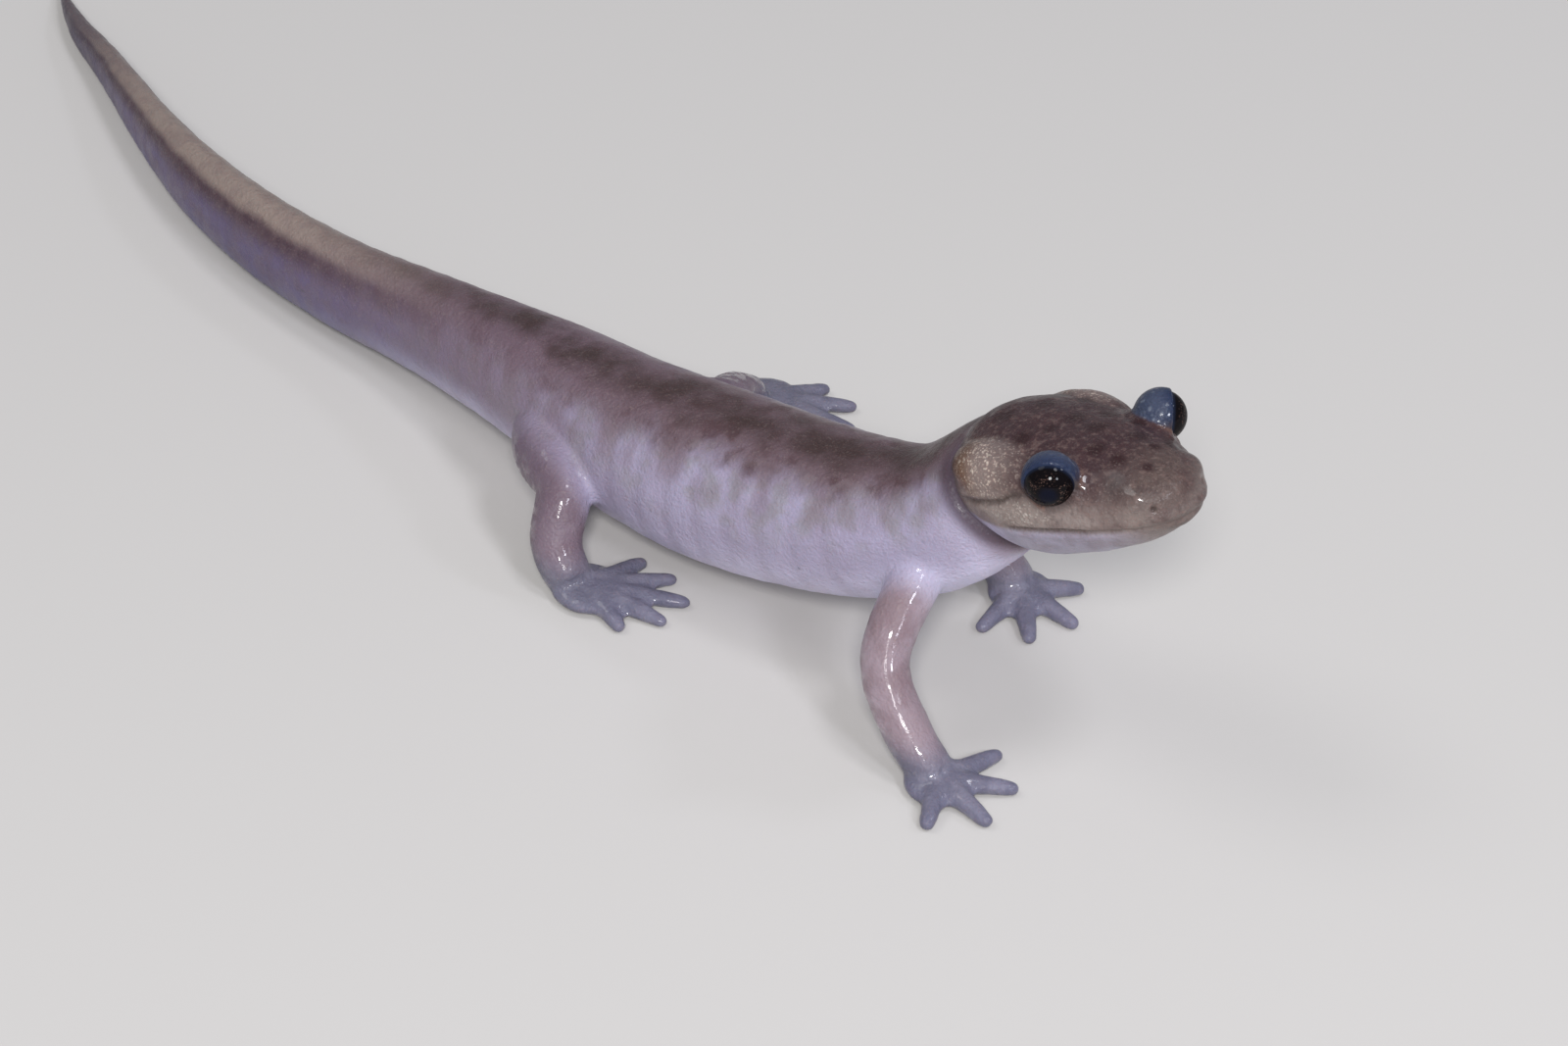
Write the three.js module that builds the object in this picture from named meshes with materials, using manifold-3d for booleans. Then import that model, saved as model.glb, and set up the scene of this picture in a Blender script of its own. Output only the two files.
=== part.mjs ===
// A young northwestern salamander standing with its chest and head raised, life size.
// Millimetres, +Z up, the floor at Z = 0, the head towards +X and the animal's left towards +Y.
// The body is one long sweep down the spine, parted with thin cuts, and the head, eyes and
// four limbs are set on it.

import * as THREE from "three";
import { mergeVertices } from "three/addons/utils/BufferGeometryUtils.js";
import Module from "manifold-3d";

const wasm = await Module();
wasm.setup();

// Driving sizes
const GAP = 0.3; // left between two pieces that meet
const HEAD_AT = [43.4, 6.1, 20.0]; // midway between the two eyes
const HEAD_PITCH = 18; // degrees, snout up
const EYE_SPREAD = 4.3; // half the distance between the eyeballs' centres
const EYE_RADIUS = 1.4;
const SOCKET_GAP = 0.2;
const LID_THICKNESS = 0.15;
const GAZE = [0.554, 0.818, -0.158]; // where the left eye looks, in the head's frame
const LID_OPENING = 0.335; // how far out along the gaze the lids' rim stands, as a share of the radius
const BODY_SIDES = 24;
const TAIL_SIDES = 16;
const LIMB_SIDES = 12;
const DIGIT_SIDES = 7;
const COSTAL_GROOVES = 11;
const GROOVE_DEPTH = 0.07; // share of the flank's half width

// The spine from the tail's tip to the back of the head
const SPINE = [
  { name: "tail_tip", at: [-63.3, 9.2, 0.45], side: 0.12, up: 0.15, down: 0.15 },
  { name: "tail_sixth", at: [-56.6, 6.3, 1.0], side: 0.7, up: 1.05, down: 1.03 },
  { name: "tail_fifth", at: [-49.7, 4.3, 1.6], side: 1.0, up: 1.65, down: 1.65 },
  { name: "tail_fourth", at: [-40.3, 1.4, 2.15], side: 1.4, up: 2.4, down: 2.35 },
  { name: "tail_third", at: [-32.4, -0.5, 2.6], side: 1.8, up: 3.0, down: 2.8 },
  { name: "tail_second", at: [-24.0, -1.4, 3.0], side: 2.1, up: 3.3, down: 3.1 },
  { name: "tail_first", at: [-16.0, -1.2, 3.4], side: 2.4, up: 3.4, down: 3.25 },
  { name: "tail_root", at: [-9.0, -0.4, 3.9], side: 2.8, up: 3.5, down: 3.4 },
  { name: "vent", at: [-3.0, -0.1, 4.6], side: 3.4, up: 3.6, down: 3.6 },
  { name: "hip", at: [4.0, 0.0, 5.4], side: 4.2, up: 4.0, down: 4.1 },
  { name: "loin", at: [10.0, 0.0, 5.7], side: 4.9, up: 4.5, down: 4.6 },
  { name: "belly", at: [18.5, 0.9, 6.5], side: 5.4, up: 4.9, down: 5.1 },
  { name: "chest", at: [28.5, 2.6, 8.6], side: 4.9, up: 4.4, down: 4.7 },
  { name: "shoulder", at: [33.0, 3.9, 10.8], side: 4.3, up: 3.6, down: 4.6 },
  { name: "throat", at: [36.3, 5.3, 14.1], side: 3.9, up: 3.2, down: 4.1 },
  { name: "nape", at: [38.6, 6.1, 16.8], side: 3.8, up: 3.0, down: 3.8 },
];

// Where the body is parted, as stations of the spine
const BODY_PARTS = [
  { name: "tail_end", from: "tail_tip", to: "tail_fourth", ringsPerMm: 0.5, sides: TAIL_SIDES },
  { name: "tail_middle", from: "tail_fourth", to: "tail_second", ringsPerMm: 0.5, sides: TAIL_SIDES },
  { name: "tail_base", from: "tail_second", to: "vent", ringsPerMm: 0.55, sides: TAIL_SIDES },
  { name: "hips", from: "vent", to: "loin", toShare: -0.2, ringsPerMm: 0.75, sides: BODY_SIDES },
  { name: "torso", from: "loin", fromShare: -0.2, to: "chest", ringsPerMm: 1.25, sides: BODY_SIDES },
  { name: "chest", from: "chest", to: "shoulder", toShare: 0.35, ringsPerMm: 1.0, sides: BODY_SIDES },
  { name: "neck", from: "shoulder", fromShare: 0.35, to: "nape", ringsPerMm: 0.9, sides: BODY_SIDES },
];

// The limbs: joints from inside the body to the middle of the palm or sole
const LIMBS = {
  arm_right: {
    joints: [[32.6, 3.6, 10.6], [34.4, 1.0, 9.0], [35.9, -3.1, 5.5], [38.6, -3.9, 2.6], [41.0, -3.9, 0.75]],
    radii: [1.9, 1.6, 1.4, 1.25, 0.9],
    names: ["upper_arm_right", "forearm_right", "hand_right"],
    palm: { at: [41.2, -3.9, 0.5], half: [1.75, 1.6, 0.62] },
    digits: [
      { turn: 84, length: 4.5 },
      { turn: 42, length: 4.5 },
      { turn: -3, length: 4.4 },
      { turn: -55, length: 3.8 },
    ],
    hub: 0.9,
  },
  arm_left: {
    joints: [[32.6, 4.4, 10.6], [31.6, 7.3, 9.0], [29.0, 10.5, 5.5], [30.0, 11.2, 2.6], [32.0, 11.5, 0.75]],
    radii: [1.9, 1.6, 1.4, 1.25, 0.9],
    names: ["upper_arm_left", "forearm_left", "hand_left"],
    palm: { at: [32.2, 11.5, 0.5], half: [1.75, 1.6, 0.62] },
    digits: [
      { turn: -80, length: 4.3 },
      { turn: -38, length: 4.5 },
      { turn: 4, length: 4.4 },
      { turn: 55, length: 3.8 },
    ],
    hub: 0.9,
  },
  leg_right: {
    joints: [[4.6, -0.4, 5.2], [7.6, -4.4, 5.4], [11.2, -5.9, 4.9], [12.4, -7.6, 2.6], [14.2, -8.0, 0.8]],
    radii: [2.3, 2.0, 1.65, 1.45, 1.0],
    names: ["thigh_right", "shank_right", "foot_right"],
    palm: { at: [15.0, -7.4, 0.55], half: [2.3, 1.8, 0.66] },
    digits: [
      { turn: 88, length: 4.4 },
      { turn: 60, length: 5.4 },
      { turn: 37, length: 6.2 },
      { turn: 15, length: 5.6 },
      { turn: -12, length: 4.2 },
    ],
    hub: 1.0,
  },
  leg_left: {
    joints: [[4.6, 0.6, 4.8], [7.2, 4.2, 4.3], [9.6, 7.6, 3.6], [8.2, 10.2, 2.2], [7.6, 12.2, 0.8]],
    radii: [2.3, 2.0, 1.65, 1.45, 1.0],
    names: ["thigh_left", "shank_left", "foot_left"],
    palm: { at: [8.3, 13.0, 0.55], half: [2.3, 1.8, 0.66] },
    digits: [
      { turn: -30, length: 4.4 },
      { turn: -5, length: 5.4 },
      { turn: 20, length: 6.2 },
      { turn: 44, length: 5.6 },
      { turn: 70, length: 4.2 },
    ],
    hub: 1.0,
  },
};

// The head's outline in its own frame, X forwards from the line between the eyes
const HEAD_SECTIONS = [
  { x: -9.6, side: 1.2, top: -0.9, mid: -1.9, low: -3.2 },
  { x: -9.0, side: 3.3, top: 0.3, mid: -1.9, low: -4.9 },
  { x: -7.5, side: 4.7, top: 1.0, mid: -1.9, low: -6.0 },
  { x: -5.0, side: 5.35, top: 1.25, mid: -1.9, low: -6.45 },
  { x: -2.5, side: 5.25, top: 1.15, mid: -2.0, low: -6.35 },
  { x: 0.0, side: 4.65, top: 0.95, mid: -2.1, low: -5.9 },
  { x: 2.0, side: 4.0, top: 0.55, mid: -2.2, low: -5.35 },
  { x: 3.7, side: 3.15, top: 0.05, mid: -2.2, low: -4.7 },
  { x: 4.9, side: 2.2, top: -0.5, mid: -2.2, low: -4.0 },
  { x: 5.6, side: 1.2, top: -1.0, mid: -2.2, low: -3.4 },
  { x: 5.75, side: 0.25, top: -1.75, mid: -2.2, low: -2.6 },
];
const MOUTH_LEVEL = -3.15; // at the corners of the mouth, in the head's frame
const MOUTH_RISE = 0.8; // how much higher the lips meet under the snout
const MOUTH_CORNER = -4.6; // X of the corners of the mouth
const MOUTH_GROOVE = 0.28; // height of the line between the lips
const MOUTH_DEPTH = 0.5;
const NOSTRIL = { at: [5.0, 1.75, -1.2], radius: 0.28 };
const PAROTOID = { at: [-4.6, 3.4, -0.8], half: [3.5, 1.95, 1.9] }; // the left gland behind the eye

const COLOURS = {
  back: 0x5d4745,
  flank: 0x8d7a83,
  limb: 0x7d6869,
  foot: 0x83798c,
  tail: 0x7a675f,
  eye: 0x0b0b14,
};

// Vectors and curves

const vector = ([x, y, z]) => new THREE.Vector3(x, y, z);

// The value of one named size part-way between two stations, eased through its neighbours.
function eased(rows, key, place) {
  const last = rows.length - 1;
  const i = Math.min(Math.floor(place), last - 1);
  const t = place - i;
  const at = (k) => rows[Math.max(0, Math.min(last, k))][key];
  const rise = (at(i + 1) - at(i - 1)) / 2;
  const nextRise = (at(i + 2) - at(i)) / 2;
  const t2 = t * t;
  const t3 = t2 * t;
  const between = at(i) * (2 * t3 - 3 * t2 + 1) + at(i + 1) * (3 * t2 - 2 * t3);
  const value = between + rise * (t3 - 2 * t2 + t) + nextRise * (t3 - t2);
  const low = Math.min(at(i), at(i + 1));
  const high = Math.max(at(i), at(i + 1));
  const slack = 0.15 * (high - low);
  return Math.max(low - slack, Math.min(high + slack, value));
}

// Tangent, left and up at a place on a curve, with the section kept as upright as it can be.
function frameAt(curve, t, upright) {
  const ahead = curve.getTangent(t).normalize();
  const left = new THREE.Vector3().crossVectors(upright, ahead).normalize();
  const up = new THREE.Vector3().crossVectors(ahead, left);
  return { ahead, left, up };
}

// Solids

// A closed mesh with its shared vertices merged, as a solid that can be joined and cut.
function solidOf(geometry) {
  const bare = geometry.clone();
  bare.deleteAttribute("normal");
  bare.deleteAttribute("uv");
  const merged = mergeVertices(bare, 1e-4);
  return new wasm.Manifold(
    new wasm.Mesh({
      numProp: 3,
      vertProperties: merged.attributes.position.array,
      triVerts: new Uint32Array(merged.index.array),
    }),
  );
}

// The largest closed surface of a solid, as geometry.
function geometryOf(solid) {
  const largest = solid.decompose().reduce((a, b) => (b.volume() > a.volume() ? b : a));
  const mesh = largest.getMesh();
  const geometry = new THREE.BufferGeometry();
  geometry.setAttribute("position", new THREE.BufferAttribute(new Float32Array(mesh.vertProperties), 3));
  geometry.setIndex(new THREE.BufferAttribute(new Uint32Array(mesh.triVerts), 1));
  geometry.computeVertexNormals();
  return geometry;
}

// A cylinder whose rings are moved by place(angle, share, reach): share runs from 0 to 1 along
// it, and reach is 1 on the wall and 0 at the middle of each end.
function shapedCylinder(sides, rings, place) {
  const geometry = new THREE.CylinderGeometry(1, 1, 1, sides, rings);
  const position = geometry.attributes.position;
  for (let i = 0; i < position.count; i++) {
    const x = position.getX(i);
    const z = position.getZ(i);
    const reach = Math.min(1, Math.hypot(x, z));
    const spot = place(Math.atan2(x, z), position.getY(i) + 0.5, reach < 0.5 ? 0 : 1);
    position.setXYZ(i, spot.x, spot.y, spot.z);
  }
  return geometry;
}

const signedPower = (value, power) => Math.sign(value) * Math.abs(value) ** power;

// An ellipsoid from its centre and half sizes.
function ellipsoid(at, half, across = 14, down = 10) {
  const geometry = new THREE.SphereGeometry(1, across, down);
  geometry.scale(...half);
  geometry.translate(...at);
  return geometry;
}

// The body

const spineCurve = new THREE.CatmullRomCurve3(SPINE.map((s) => vector(s.at)), false, "centripetal");
const stationOf = (name) => SPINE.findIndex((s) => s.name === name);
const SPINE_STEPS = SPINE.length - 1;
const WORLD_UP = new THREE.Vector3(0, 0, 1);

// How deep the vertical grooves between the ribs press into the flank, 0 to 1.
function costalGroove(place) {
  const first = stationOf("hip") + 0.45;
  const last = stationOf("shoulder") - 0.55;
  if (place < first || place > last) return 0;
  const length = (p) => spineCurve.getPoint(p / SPINE_STEPS).x;
  const run = (length(place) - length(first)) / (length(last) - length(first));
  const wave = Math.cos(run * COSTAL_GROOVES * 2 * Math.PI) * 0.5 + 0.5;
  return wave ** 3 * Math.sin(run * Math.PI) ** 0.4;
}

// A point of the body's skin: angle 0 is the left flank and a quarter turn is the back.
function bodyPoint(place, angle, reach, grow) {
  const t = place / SPINE_STEPS;
  const { left, up } = frameAt(spineCurve, t, WORLD_UP);
  const inTail = 1 - THREE.MathUtils.smoothstep(place, stationOf("tail_first"), stationOf("vent"));
  const onFlank = Math.max(0, Math.cos(angle) ** 2 - 0.15);
  const side = eased(SPINE, "side", place) * (1 - GROOVE_DEPTH * costalGroove(place) * onFlank);
  const rise = eased(SPINE, Math.sin(angle) > 0 ? "up" : "down", place);
  // the tail's section narrows towards a rounded ridge on top and a blunt keel below
  const square = 0.95 + 0.28 * inTail * Math.abs(Math.sin(angle));
  const across = signedPower(Math.cos(angle), square) * (side + grow);
  const tall = signedPower(Math.sin(angle), 0.95) * (rise + grow);
  return spineCurve
    .getPoint(t)
    .addScaledVector(left, across * reach)
    .addScaledVector(up, tall * reach);
}

// One length of the body between two places of the spine, grown outwards by grow.
function bodyLength(from, to, rings, sides, grow) {
  return shapedCylinder(sides, rings, (angle, share, reach) =>
    bodyPoint(from + (to - from) * share, angle, reach, grow),
  );
}

const spineMillimetres = (from, to) =>
  spineCurve.getPoint(from / SPINE_STEPS).distanceTo(spineCurve.getPoint(to / SPINE_STEPS));

function bodyParts() {
  const parts = {};
  for (const part of BODY_PARTS) {
    const from = stationOf(part.from) + (part.fromShare ?? 0);
    const to = stationOf(part.to) + (part.toShare ?? 0);
    const length = spineMillimetres(from, to);
    const cut = ((GAP / 2) * (to - from)) / length;
    const start = part.from === "tail_tip" ? from : from + cut;
    const end = part.to === "nape" ? to : to - cut;
    parts[part.name] = bodyLength(start, end, Math.round(length * part.ringsPerMm), part.sides, 0);
  }
  return parts;
}

// The head

const headFrame = new THREE.Matrix4()
  .makeTranslation(...HEAD_AT)
  .multiply(new THREE.Matrix4().makeRotationY(-THREE.MathUtils.degToRad(HEAD_PITCH)));

// The head's skin: place runs over the rows of HEAD_SECTIONS.
function headPoint(place, angle, reach, grow) {
  const row = (key) => eased(HEAD_SECTIONS, key, place);
  const mid = row("mid");
  const above = Math.sin(angle) > 0;
  const rise = above ? row("top") - mid : mid - row("low");
  const ends = (place / (HEAD_SECTIONS.length - 1)) * 2 - 1;
  const across = signedPower(Math.cos(angle), above ? 0.95 : 0.8) * (row("side") + grow);
  const tall = signedPower(Math.sin(angle), above ? 1.05 : 0.95) * (rise + grow);
  const x = row("x") + Math.sign(ends) * grow * Math.abs(ends) ** 8;
  return new THREE.Vector3(x, across * reach, mid + tall * reach);
}

// The whole head as one closed sweep, grown outwards by grow.
const headShape = (grow) =>
  shapedCylinder(28, 22, (angle, share, reach) =>
    headPoint((HEAD_SECTIONS.length - 1) * share, angle, reach, grow),
  );

// A thin sheet that follows the lips round the snout and cuts the line of the mouth.
function mouthCutter() {
  const outline = new THREE.Shape();
  const rows = HEAD_SECTIONS.filter((row) => row.x > MOUTH_CORNER);
  const corner = rows[0].side;
  const outer = rows.map((row) => [row.x + 1.5, row.side + 1]);
  const inner = rows.map((row) => [row.x - MOUTH_DEPTH, Math.max(0.1, row.side - MOUTH_DEPTH)]);
  outline.moveTo(MOUTH_CORNER, corner + 1);
  outer.forEach(([x, y]) => outline.lineTo(x, y));
  outer.toReversed().forEach(([x, y]) => outline.lineTo(x, -y));
  outline.lineTo(MOUTH_CORNER, -corner - 1);
  outline.lineTo(MOUTH_CORNER, -corner + MOUTH_DEPTH * 0.4);
  inner.forEach(([x, y]) => outline.lineTo(x, -y));
  inner.toReversed().forEach(([x, y]) => outline.lineTo(x, y));
  outline.lineTo(MOUTH_CORNER, corner - MOUTH_DEPTH * 0.4);
  const sheet = new THREE.ExtrudeGeometry(outline, { depth: MOUTH_GROOVE, bevelEnabled: false });
  const position = sheet.attributes.position;
  for (let i = 0; i < position.count; i++) {
    const rise = MOUTH_RISE * THREE.MathUtils.smoothstep(position.getX(i), 0, HEAD_SECTIONS.at(-1).x);
    position.setZ(i, position.getZ(i) + MOUTH_LEVEL + rise - MOUTH_GROOVE / 2);
  }
  return sheet;
}

// The skin round one eyeball, open in front: the eye looks along gaze.
function eyelid(side) {
  const outer = EYE_RADIUS + SOCKET_GAP + LID_THICKNESS;
  const dome = solidOf(ellipsoid([0, 0, 0], [outer, outer, outer], 20, 12));
  const gaze = new THREE.Vector3(GAZE[0], side * GAZE[1], GAZE[2]).normalize();
  const front = new THREE.BoxGeometry(6, 6, 6);
  front.translate(0, 0, 3 + outer * LID_OPENING);
  front.applyQuaternion(new THREE.Quaternion().setFromUnitVectors(new THREE.Vector3(0, 0, 1), gaze));
  return dome.subtract(solidOf(front)).translate([0, side * EYE_SPREAD, 0]);
}

// The head with the glands behind the eyes, grown outwards by grow.
function headMass(grow) {
  const [x, y, z] = PAROTOID.at;
  const half = PAROTOID.half.map((size) => size + grow);
  const glands = [1, -1].map((side) => solidOf(ellipsoid([x, side * y, z], half)));
  return solidOf(headShape(grow)).add(glands[0]).add(glands[1]);
}

function headSolid() {
  let head = headMass(0);
  for (const side of [1, -1]) {
    head = head.add(eyelid(side));
  }
  for (const side of [1, -1]) {
    const socket = EYE_RADIUS + SOCKET_GAP;
    head = head.subtract(solidOf(ellipsoid([0, side * EYE_SPREAD, 0], [socket, socket, socket], 20, 12)));
    const [x, y, z] = NOSTRIL.at;
    const pit = NOSTRIL.radius;
    head = head.subtract(solidOf(ellipsoid([x, side * y, z], [pit, pit, pit * 0.8], 8, 6)));
  }
  return head.subtract(solidOf(mouthCutter()));
}

function eyeball(side) {
  const ball = ellipsoid([0, 0, 0], [EYE_RADIUS, EYE_RADIUS, EYE_RADIUS], 20, 12);
  ball.translate(0, side * EYE_SPREAD, 0);
  return ball;
}

// Limbs

// A round length along a limb's curve between two shares of its way.
function limbLength(curve, radii, from, to, rings, upright) {
  const rows = radii.map((radius) => ({ radius }));
  return shapedCylinder(LIMB_SIDES, rings, (angle, share, reach) => {
    const t = from + (to - from) * share;
    const { left, up } = frameAt(curve, t, upright);
    const radius = eased(rows, "radius", t * (rows.length - 1)) * reach;
    return curve
      .getPoint(t)
      .addScaledVector(left, Math.cos(angle) * radius)
      .addScaledVector(up, Math.sin(angle) * radius);
  });
}

// A finger or toe lying on the floor, from the middle of the palm to its rounded tip.
function digit(palm, hub, { turn, length }) {
  const heading = THREE.MathUtils.degToRad(turn);
  const ahead = new THREE.Vector3(Math.cos(heading), Math.sin(heading), 0);
  const start = vector(palm.at);
  const point = (run, z) => start.clone().addScaledVector(ahead, run).setZ(z);
  const curve = new THREE.CatmullRomCurve3([
    point(hub * 0.3, 0.5),
    point(hub + 0.35 * (length - hub), 0.5),
    point(hub + 0.75 * (length - hub), 0.4),
    point(length, 0.3),
  ]);
  const rows = [{ radius: 0.6 }, { radius: 0.47 }, { radius: 0.42 }, { radius: 0.3 }];
  return shapedCylinder(DIGIT_SIDES, 6, (angle, share, reach) => {
    const t = 1 - (1 - share) ** 1.6; // the rings crowd together at the round tip
    const { left, up } = frameAt(curve, t, WORLD_UP);
    const tip = Math.sqrt(Math.max(0.02, 1 - Math.max(0, (t - 0.88) / 0.12) ** 2));
    const radius = eased(rows, "radius", t * 3) * reach * tip;
    return curve
      .getPoint(t)
      .addScaledVector(left, Math.cos(angle) * radius)
      .addScaledVector(up, Math.sin(angle) * radius * 0.9);
  });
}

const FLOOR = new THREE.BoxGeometry(200, 200, 10).translate(0, 0, -5);
const onFloor = (solid) => solid.subtract(solidOf(FLOOR));

function limbSolids(limb, bodyCutter) {
  const curve = new THREE.CatmullRomCurve3(limb.joints.map(vector), false, "centripetal");
  const upright = new THREE.Vector3(1, 0, 0.3).normalize();
  const length = curve.getLength();
  const bend = 0.5; // the elbow or knee
  const wrist = 0.84;
  const cut = GAP / 2 / length;
  const tube = (from, to, rings, grow = 0) =>
    solidOf(limbLength(curve, limb.radii.map((radius) => radius + grow), from, to, rings, upright));
  const upper = tube(0, bend - cut, 7).subtract(bodyCutter);
  const lower = tube(bend + cut, wrist - cut, 5).subtract(bodyCutter);
  let end = tube(wrist + cut, 1, 3);
  end = end.add(solidOf(ellipsoid(limb.palm.at, limb.palm.half, 12, 8)));
  for (const each of limb.digits) end = end.add(solidOf(digit(limb.palm, limb.hub, each)));
  // the palm's ellipsoid would run into the forearm, so the part past the wrist is cut away
  return [upper, lower, onFloor(end.subtract(tube(bend, wrist + cut, 7, GAP)))];
}

// The whole animal

const salamander = new THREE.Group();

function addPiece(name, solid, colour, roughness) {
  const material = new THREE.MeshStandardMaterial({ color: colour, roughness, metalness: 0 });
  const mesh = new THREE.Mesh(geometryOf(solid), material);
  mesh.name = name;
  salamander.add(mesh);
}

const bodyCutter = solidOf(bodyLength(1, SPINE_STEPS, 60, BODY_SIDES, GAP));
const headCutter = headMass(GAP).transform(headFrame.elements);

for (const [name, geometry] of Object.entries(bodyParts())) {
  const colour = name.startsWith("tail") ? COLOURS.tail : COLOURS.flank;
  const solid = name === "neck" ? solidOf(geometry).subtract(headCutter) : solidOf(geometry);
  addPiece(name, onFloor(solid), colour, 0.35);
}

addPiece("head", headSolid().transform(headFrame.elements), COLOURS.back, 0.35);
addPiece("eye_left", solidOf(eyeball(1)).transform(headFrame.elements), COLOURS.eye, 0.05);
addPiece("eye_right", solidOf(eyeball(-1)).transform(headFrame.elements), COLOURS.eye, 0.05);

for (const limb of Object.values(LIMBS)) {
  const colours = [COLOURS.limb, COLOURS.limb, COLOURS.foot];
  limbSolids(limb, bodyCutter).forEach((solid, i) => addPiece(limb.names[i], solid, colours[i], 0.35));
}

// The origin is on the floor under the middle of the animal's box.
const box = new THREE.Box3().setFromObject(salamander);
const middle = box.getCenter(new THREE.Vector3());
salamander.position.set(-middle.x, -middle.y, 0);

export default salamander;
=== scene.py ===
# %% [markdown]
# # A young northwestern salamander
# The animal stands on its spread hands and feet with the head and chest raised, and the tail
# trails behind it in a slow curve. It is about 113 mm long. This lesson dresses the plain
# solids of the frame in one wet, finely grained skin with dark, glossy eyes.
# The frame comes first, because every piece has to sit exactly where its solids are.

# %% Load the frame
import math

import bmesh
import bpy
import numpy as np
from mathutils import Matrix, Vector, kdtree, noise


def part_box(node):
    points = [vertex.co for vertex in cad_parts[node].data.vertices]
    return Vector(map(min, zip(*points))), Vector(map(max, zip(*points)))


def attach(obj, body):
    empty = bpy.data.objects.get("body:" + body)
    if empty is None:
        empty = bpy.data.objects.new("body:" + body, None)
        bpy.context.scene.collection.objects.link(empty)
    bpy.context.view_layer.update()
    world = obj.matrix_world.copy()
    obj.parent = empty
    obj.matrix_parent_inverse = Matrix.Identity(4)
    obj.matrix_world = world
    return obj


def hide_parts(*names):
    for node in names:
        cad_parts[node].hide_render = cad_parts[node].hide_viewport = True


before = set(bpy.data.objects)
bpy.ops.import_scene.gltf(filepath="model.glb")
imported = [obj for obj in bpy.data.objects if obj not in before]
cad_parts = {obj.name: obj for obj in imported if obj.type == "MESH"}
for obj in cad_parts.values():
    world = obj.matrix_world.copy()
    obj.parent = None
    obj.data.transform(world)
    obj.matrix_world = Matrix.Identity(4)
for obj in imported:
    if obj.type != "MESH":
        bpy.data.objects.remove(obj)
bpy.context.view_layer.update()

MM = 0.001
print("nodes in the frame:", len(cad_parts))

# %% [markdown]
# ## Where the head is
# The two eyeballs are the best landmarks of the frame. Their middle is where the head's own
# axes start: X along the snout, Y to the animal's left and Z out of the crown. The head is
# tipped up, so its axes are turned by the same pitch as the solids.

# %% Measure the eyes
HEAD_PITCH = math.radians(18)


def middle(node):
    low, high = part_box(node)
    return (Vector(low) + Vector(high)) / 2


eye_centres = {side: middle("eye_" + side) for side in ("left", "right")}
low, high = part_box("eye_left")
SOLID_EYE = (high[0] - low[0]) / 2
EYE_RADIUS = 1.03 * SOLID_EYE  # a little over the solid's, whose facets cut inside the round
head_at = (eye_centres["left"] + eye_centres["right"]) / 2
head_turn = Matrix.Rotation(-HEAD_PITCH, 4, "Y")
head_axes = Matrix.Translation(head_at) @ head_turn
EYE_SPREAD = (eye_centres["left"] - eye_centres["right"]).length / 2
PELVIS_TO_HEAD = Vector((43.4, 6.1, 20.0))
PELVIS = head_at - PELVIS_TO_HEAD * MM  # where the tables of the spine and the limbs start
print("eye radius, mm:", round(EYE_RADIUS / MM, 3), "spread, mm:", round(EYE_SPREAD / MM, 2))

# %% [markdown]
# ## The camera
# The picture looks down on the animal from its front right. The near eye is the sharpest
# point, so the camera is hung on it: it stands back from that eye along the line of sight and
# sideways by as much as the eye lies off the middle of the picture.

# %% Place the camera
PICTURE = (1600, 1067)
FOCAL = 4500.0  # focal length in the picture's pixels
NEAR_EYE = (1071.3, 489.2)  # where the near eye's centre is in the picture
EYE_DEPTH = 237.1 * MM  # how far that eye is from the camera
SENSOR_WIDTH = 36
AZIMUTH, ELEVATION = math.radians(47.78), math.radians(38.0)

cos_a, sin_a = math.cos(AZIMUTH), math.sin(AZIMUTH)
backwards = Vector((sin_a * math.cos(ELEVATION), -cos_a * math.cos(ELEVATION), math.sin(ELEVATION)))
rightwards = Vector((cos_a, sin_a, 0))
upwards = backwards.cross(rightwards)
off_x = (NEAR_EYE[0] - PICTURE[0] / 2) / FOCAL * EYE_DEPTH
off_y = (PICTURE[1] / 2 - NEAR_EYE[1]) / FOCAL * EYE_DEPTH
camera_at = eye_centres["right"] + backwards * EYE_DEPTH - rightwards * off_x - upwards * off_y

camera = bpy.data.cameras.new("camera")
camera.sensor_width = SENSOR_WIDTH
camera.lens = SENSOR_WIDTH * FOCAL / PICTURE[0]
camera.clip_start = 0.01
camera_object = bpy.data.objects.new("camera", camera)
turn = Matrix((rightwards, upwards, backwards)).transposed().to_4x4()
camera_object.matrix_world = Matrix.Translation(camera_at) @ turn
bpy.context.collection.objects.link(camera_object)
bpy.context.scene.camera = camera_object
print("camera at, mm:", [round(c / MM, 1) for c in camera_at])

# %% [markdown]
# ## Tools for a soft body
# A salamander's body is a tube that swells and narrows along a bent spine. Such a tube could
# be a curve with a bevel, but its section changes shape along the way. It is made by hand
# instead: a circle is added at the first station, extruded ring by ring along the spine, and
# closed at both ends. A Subdivision Surface modifier then rounds it.


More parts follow.
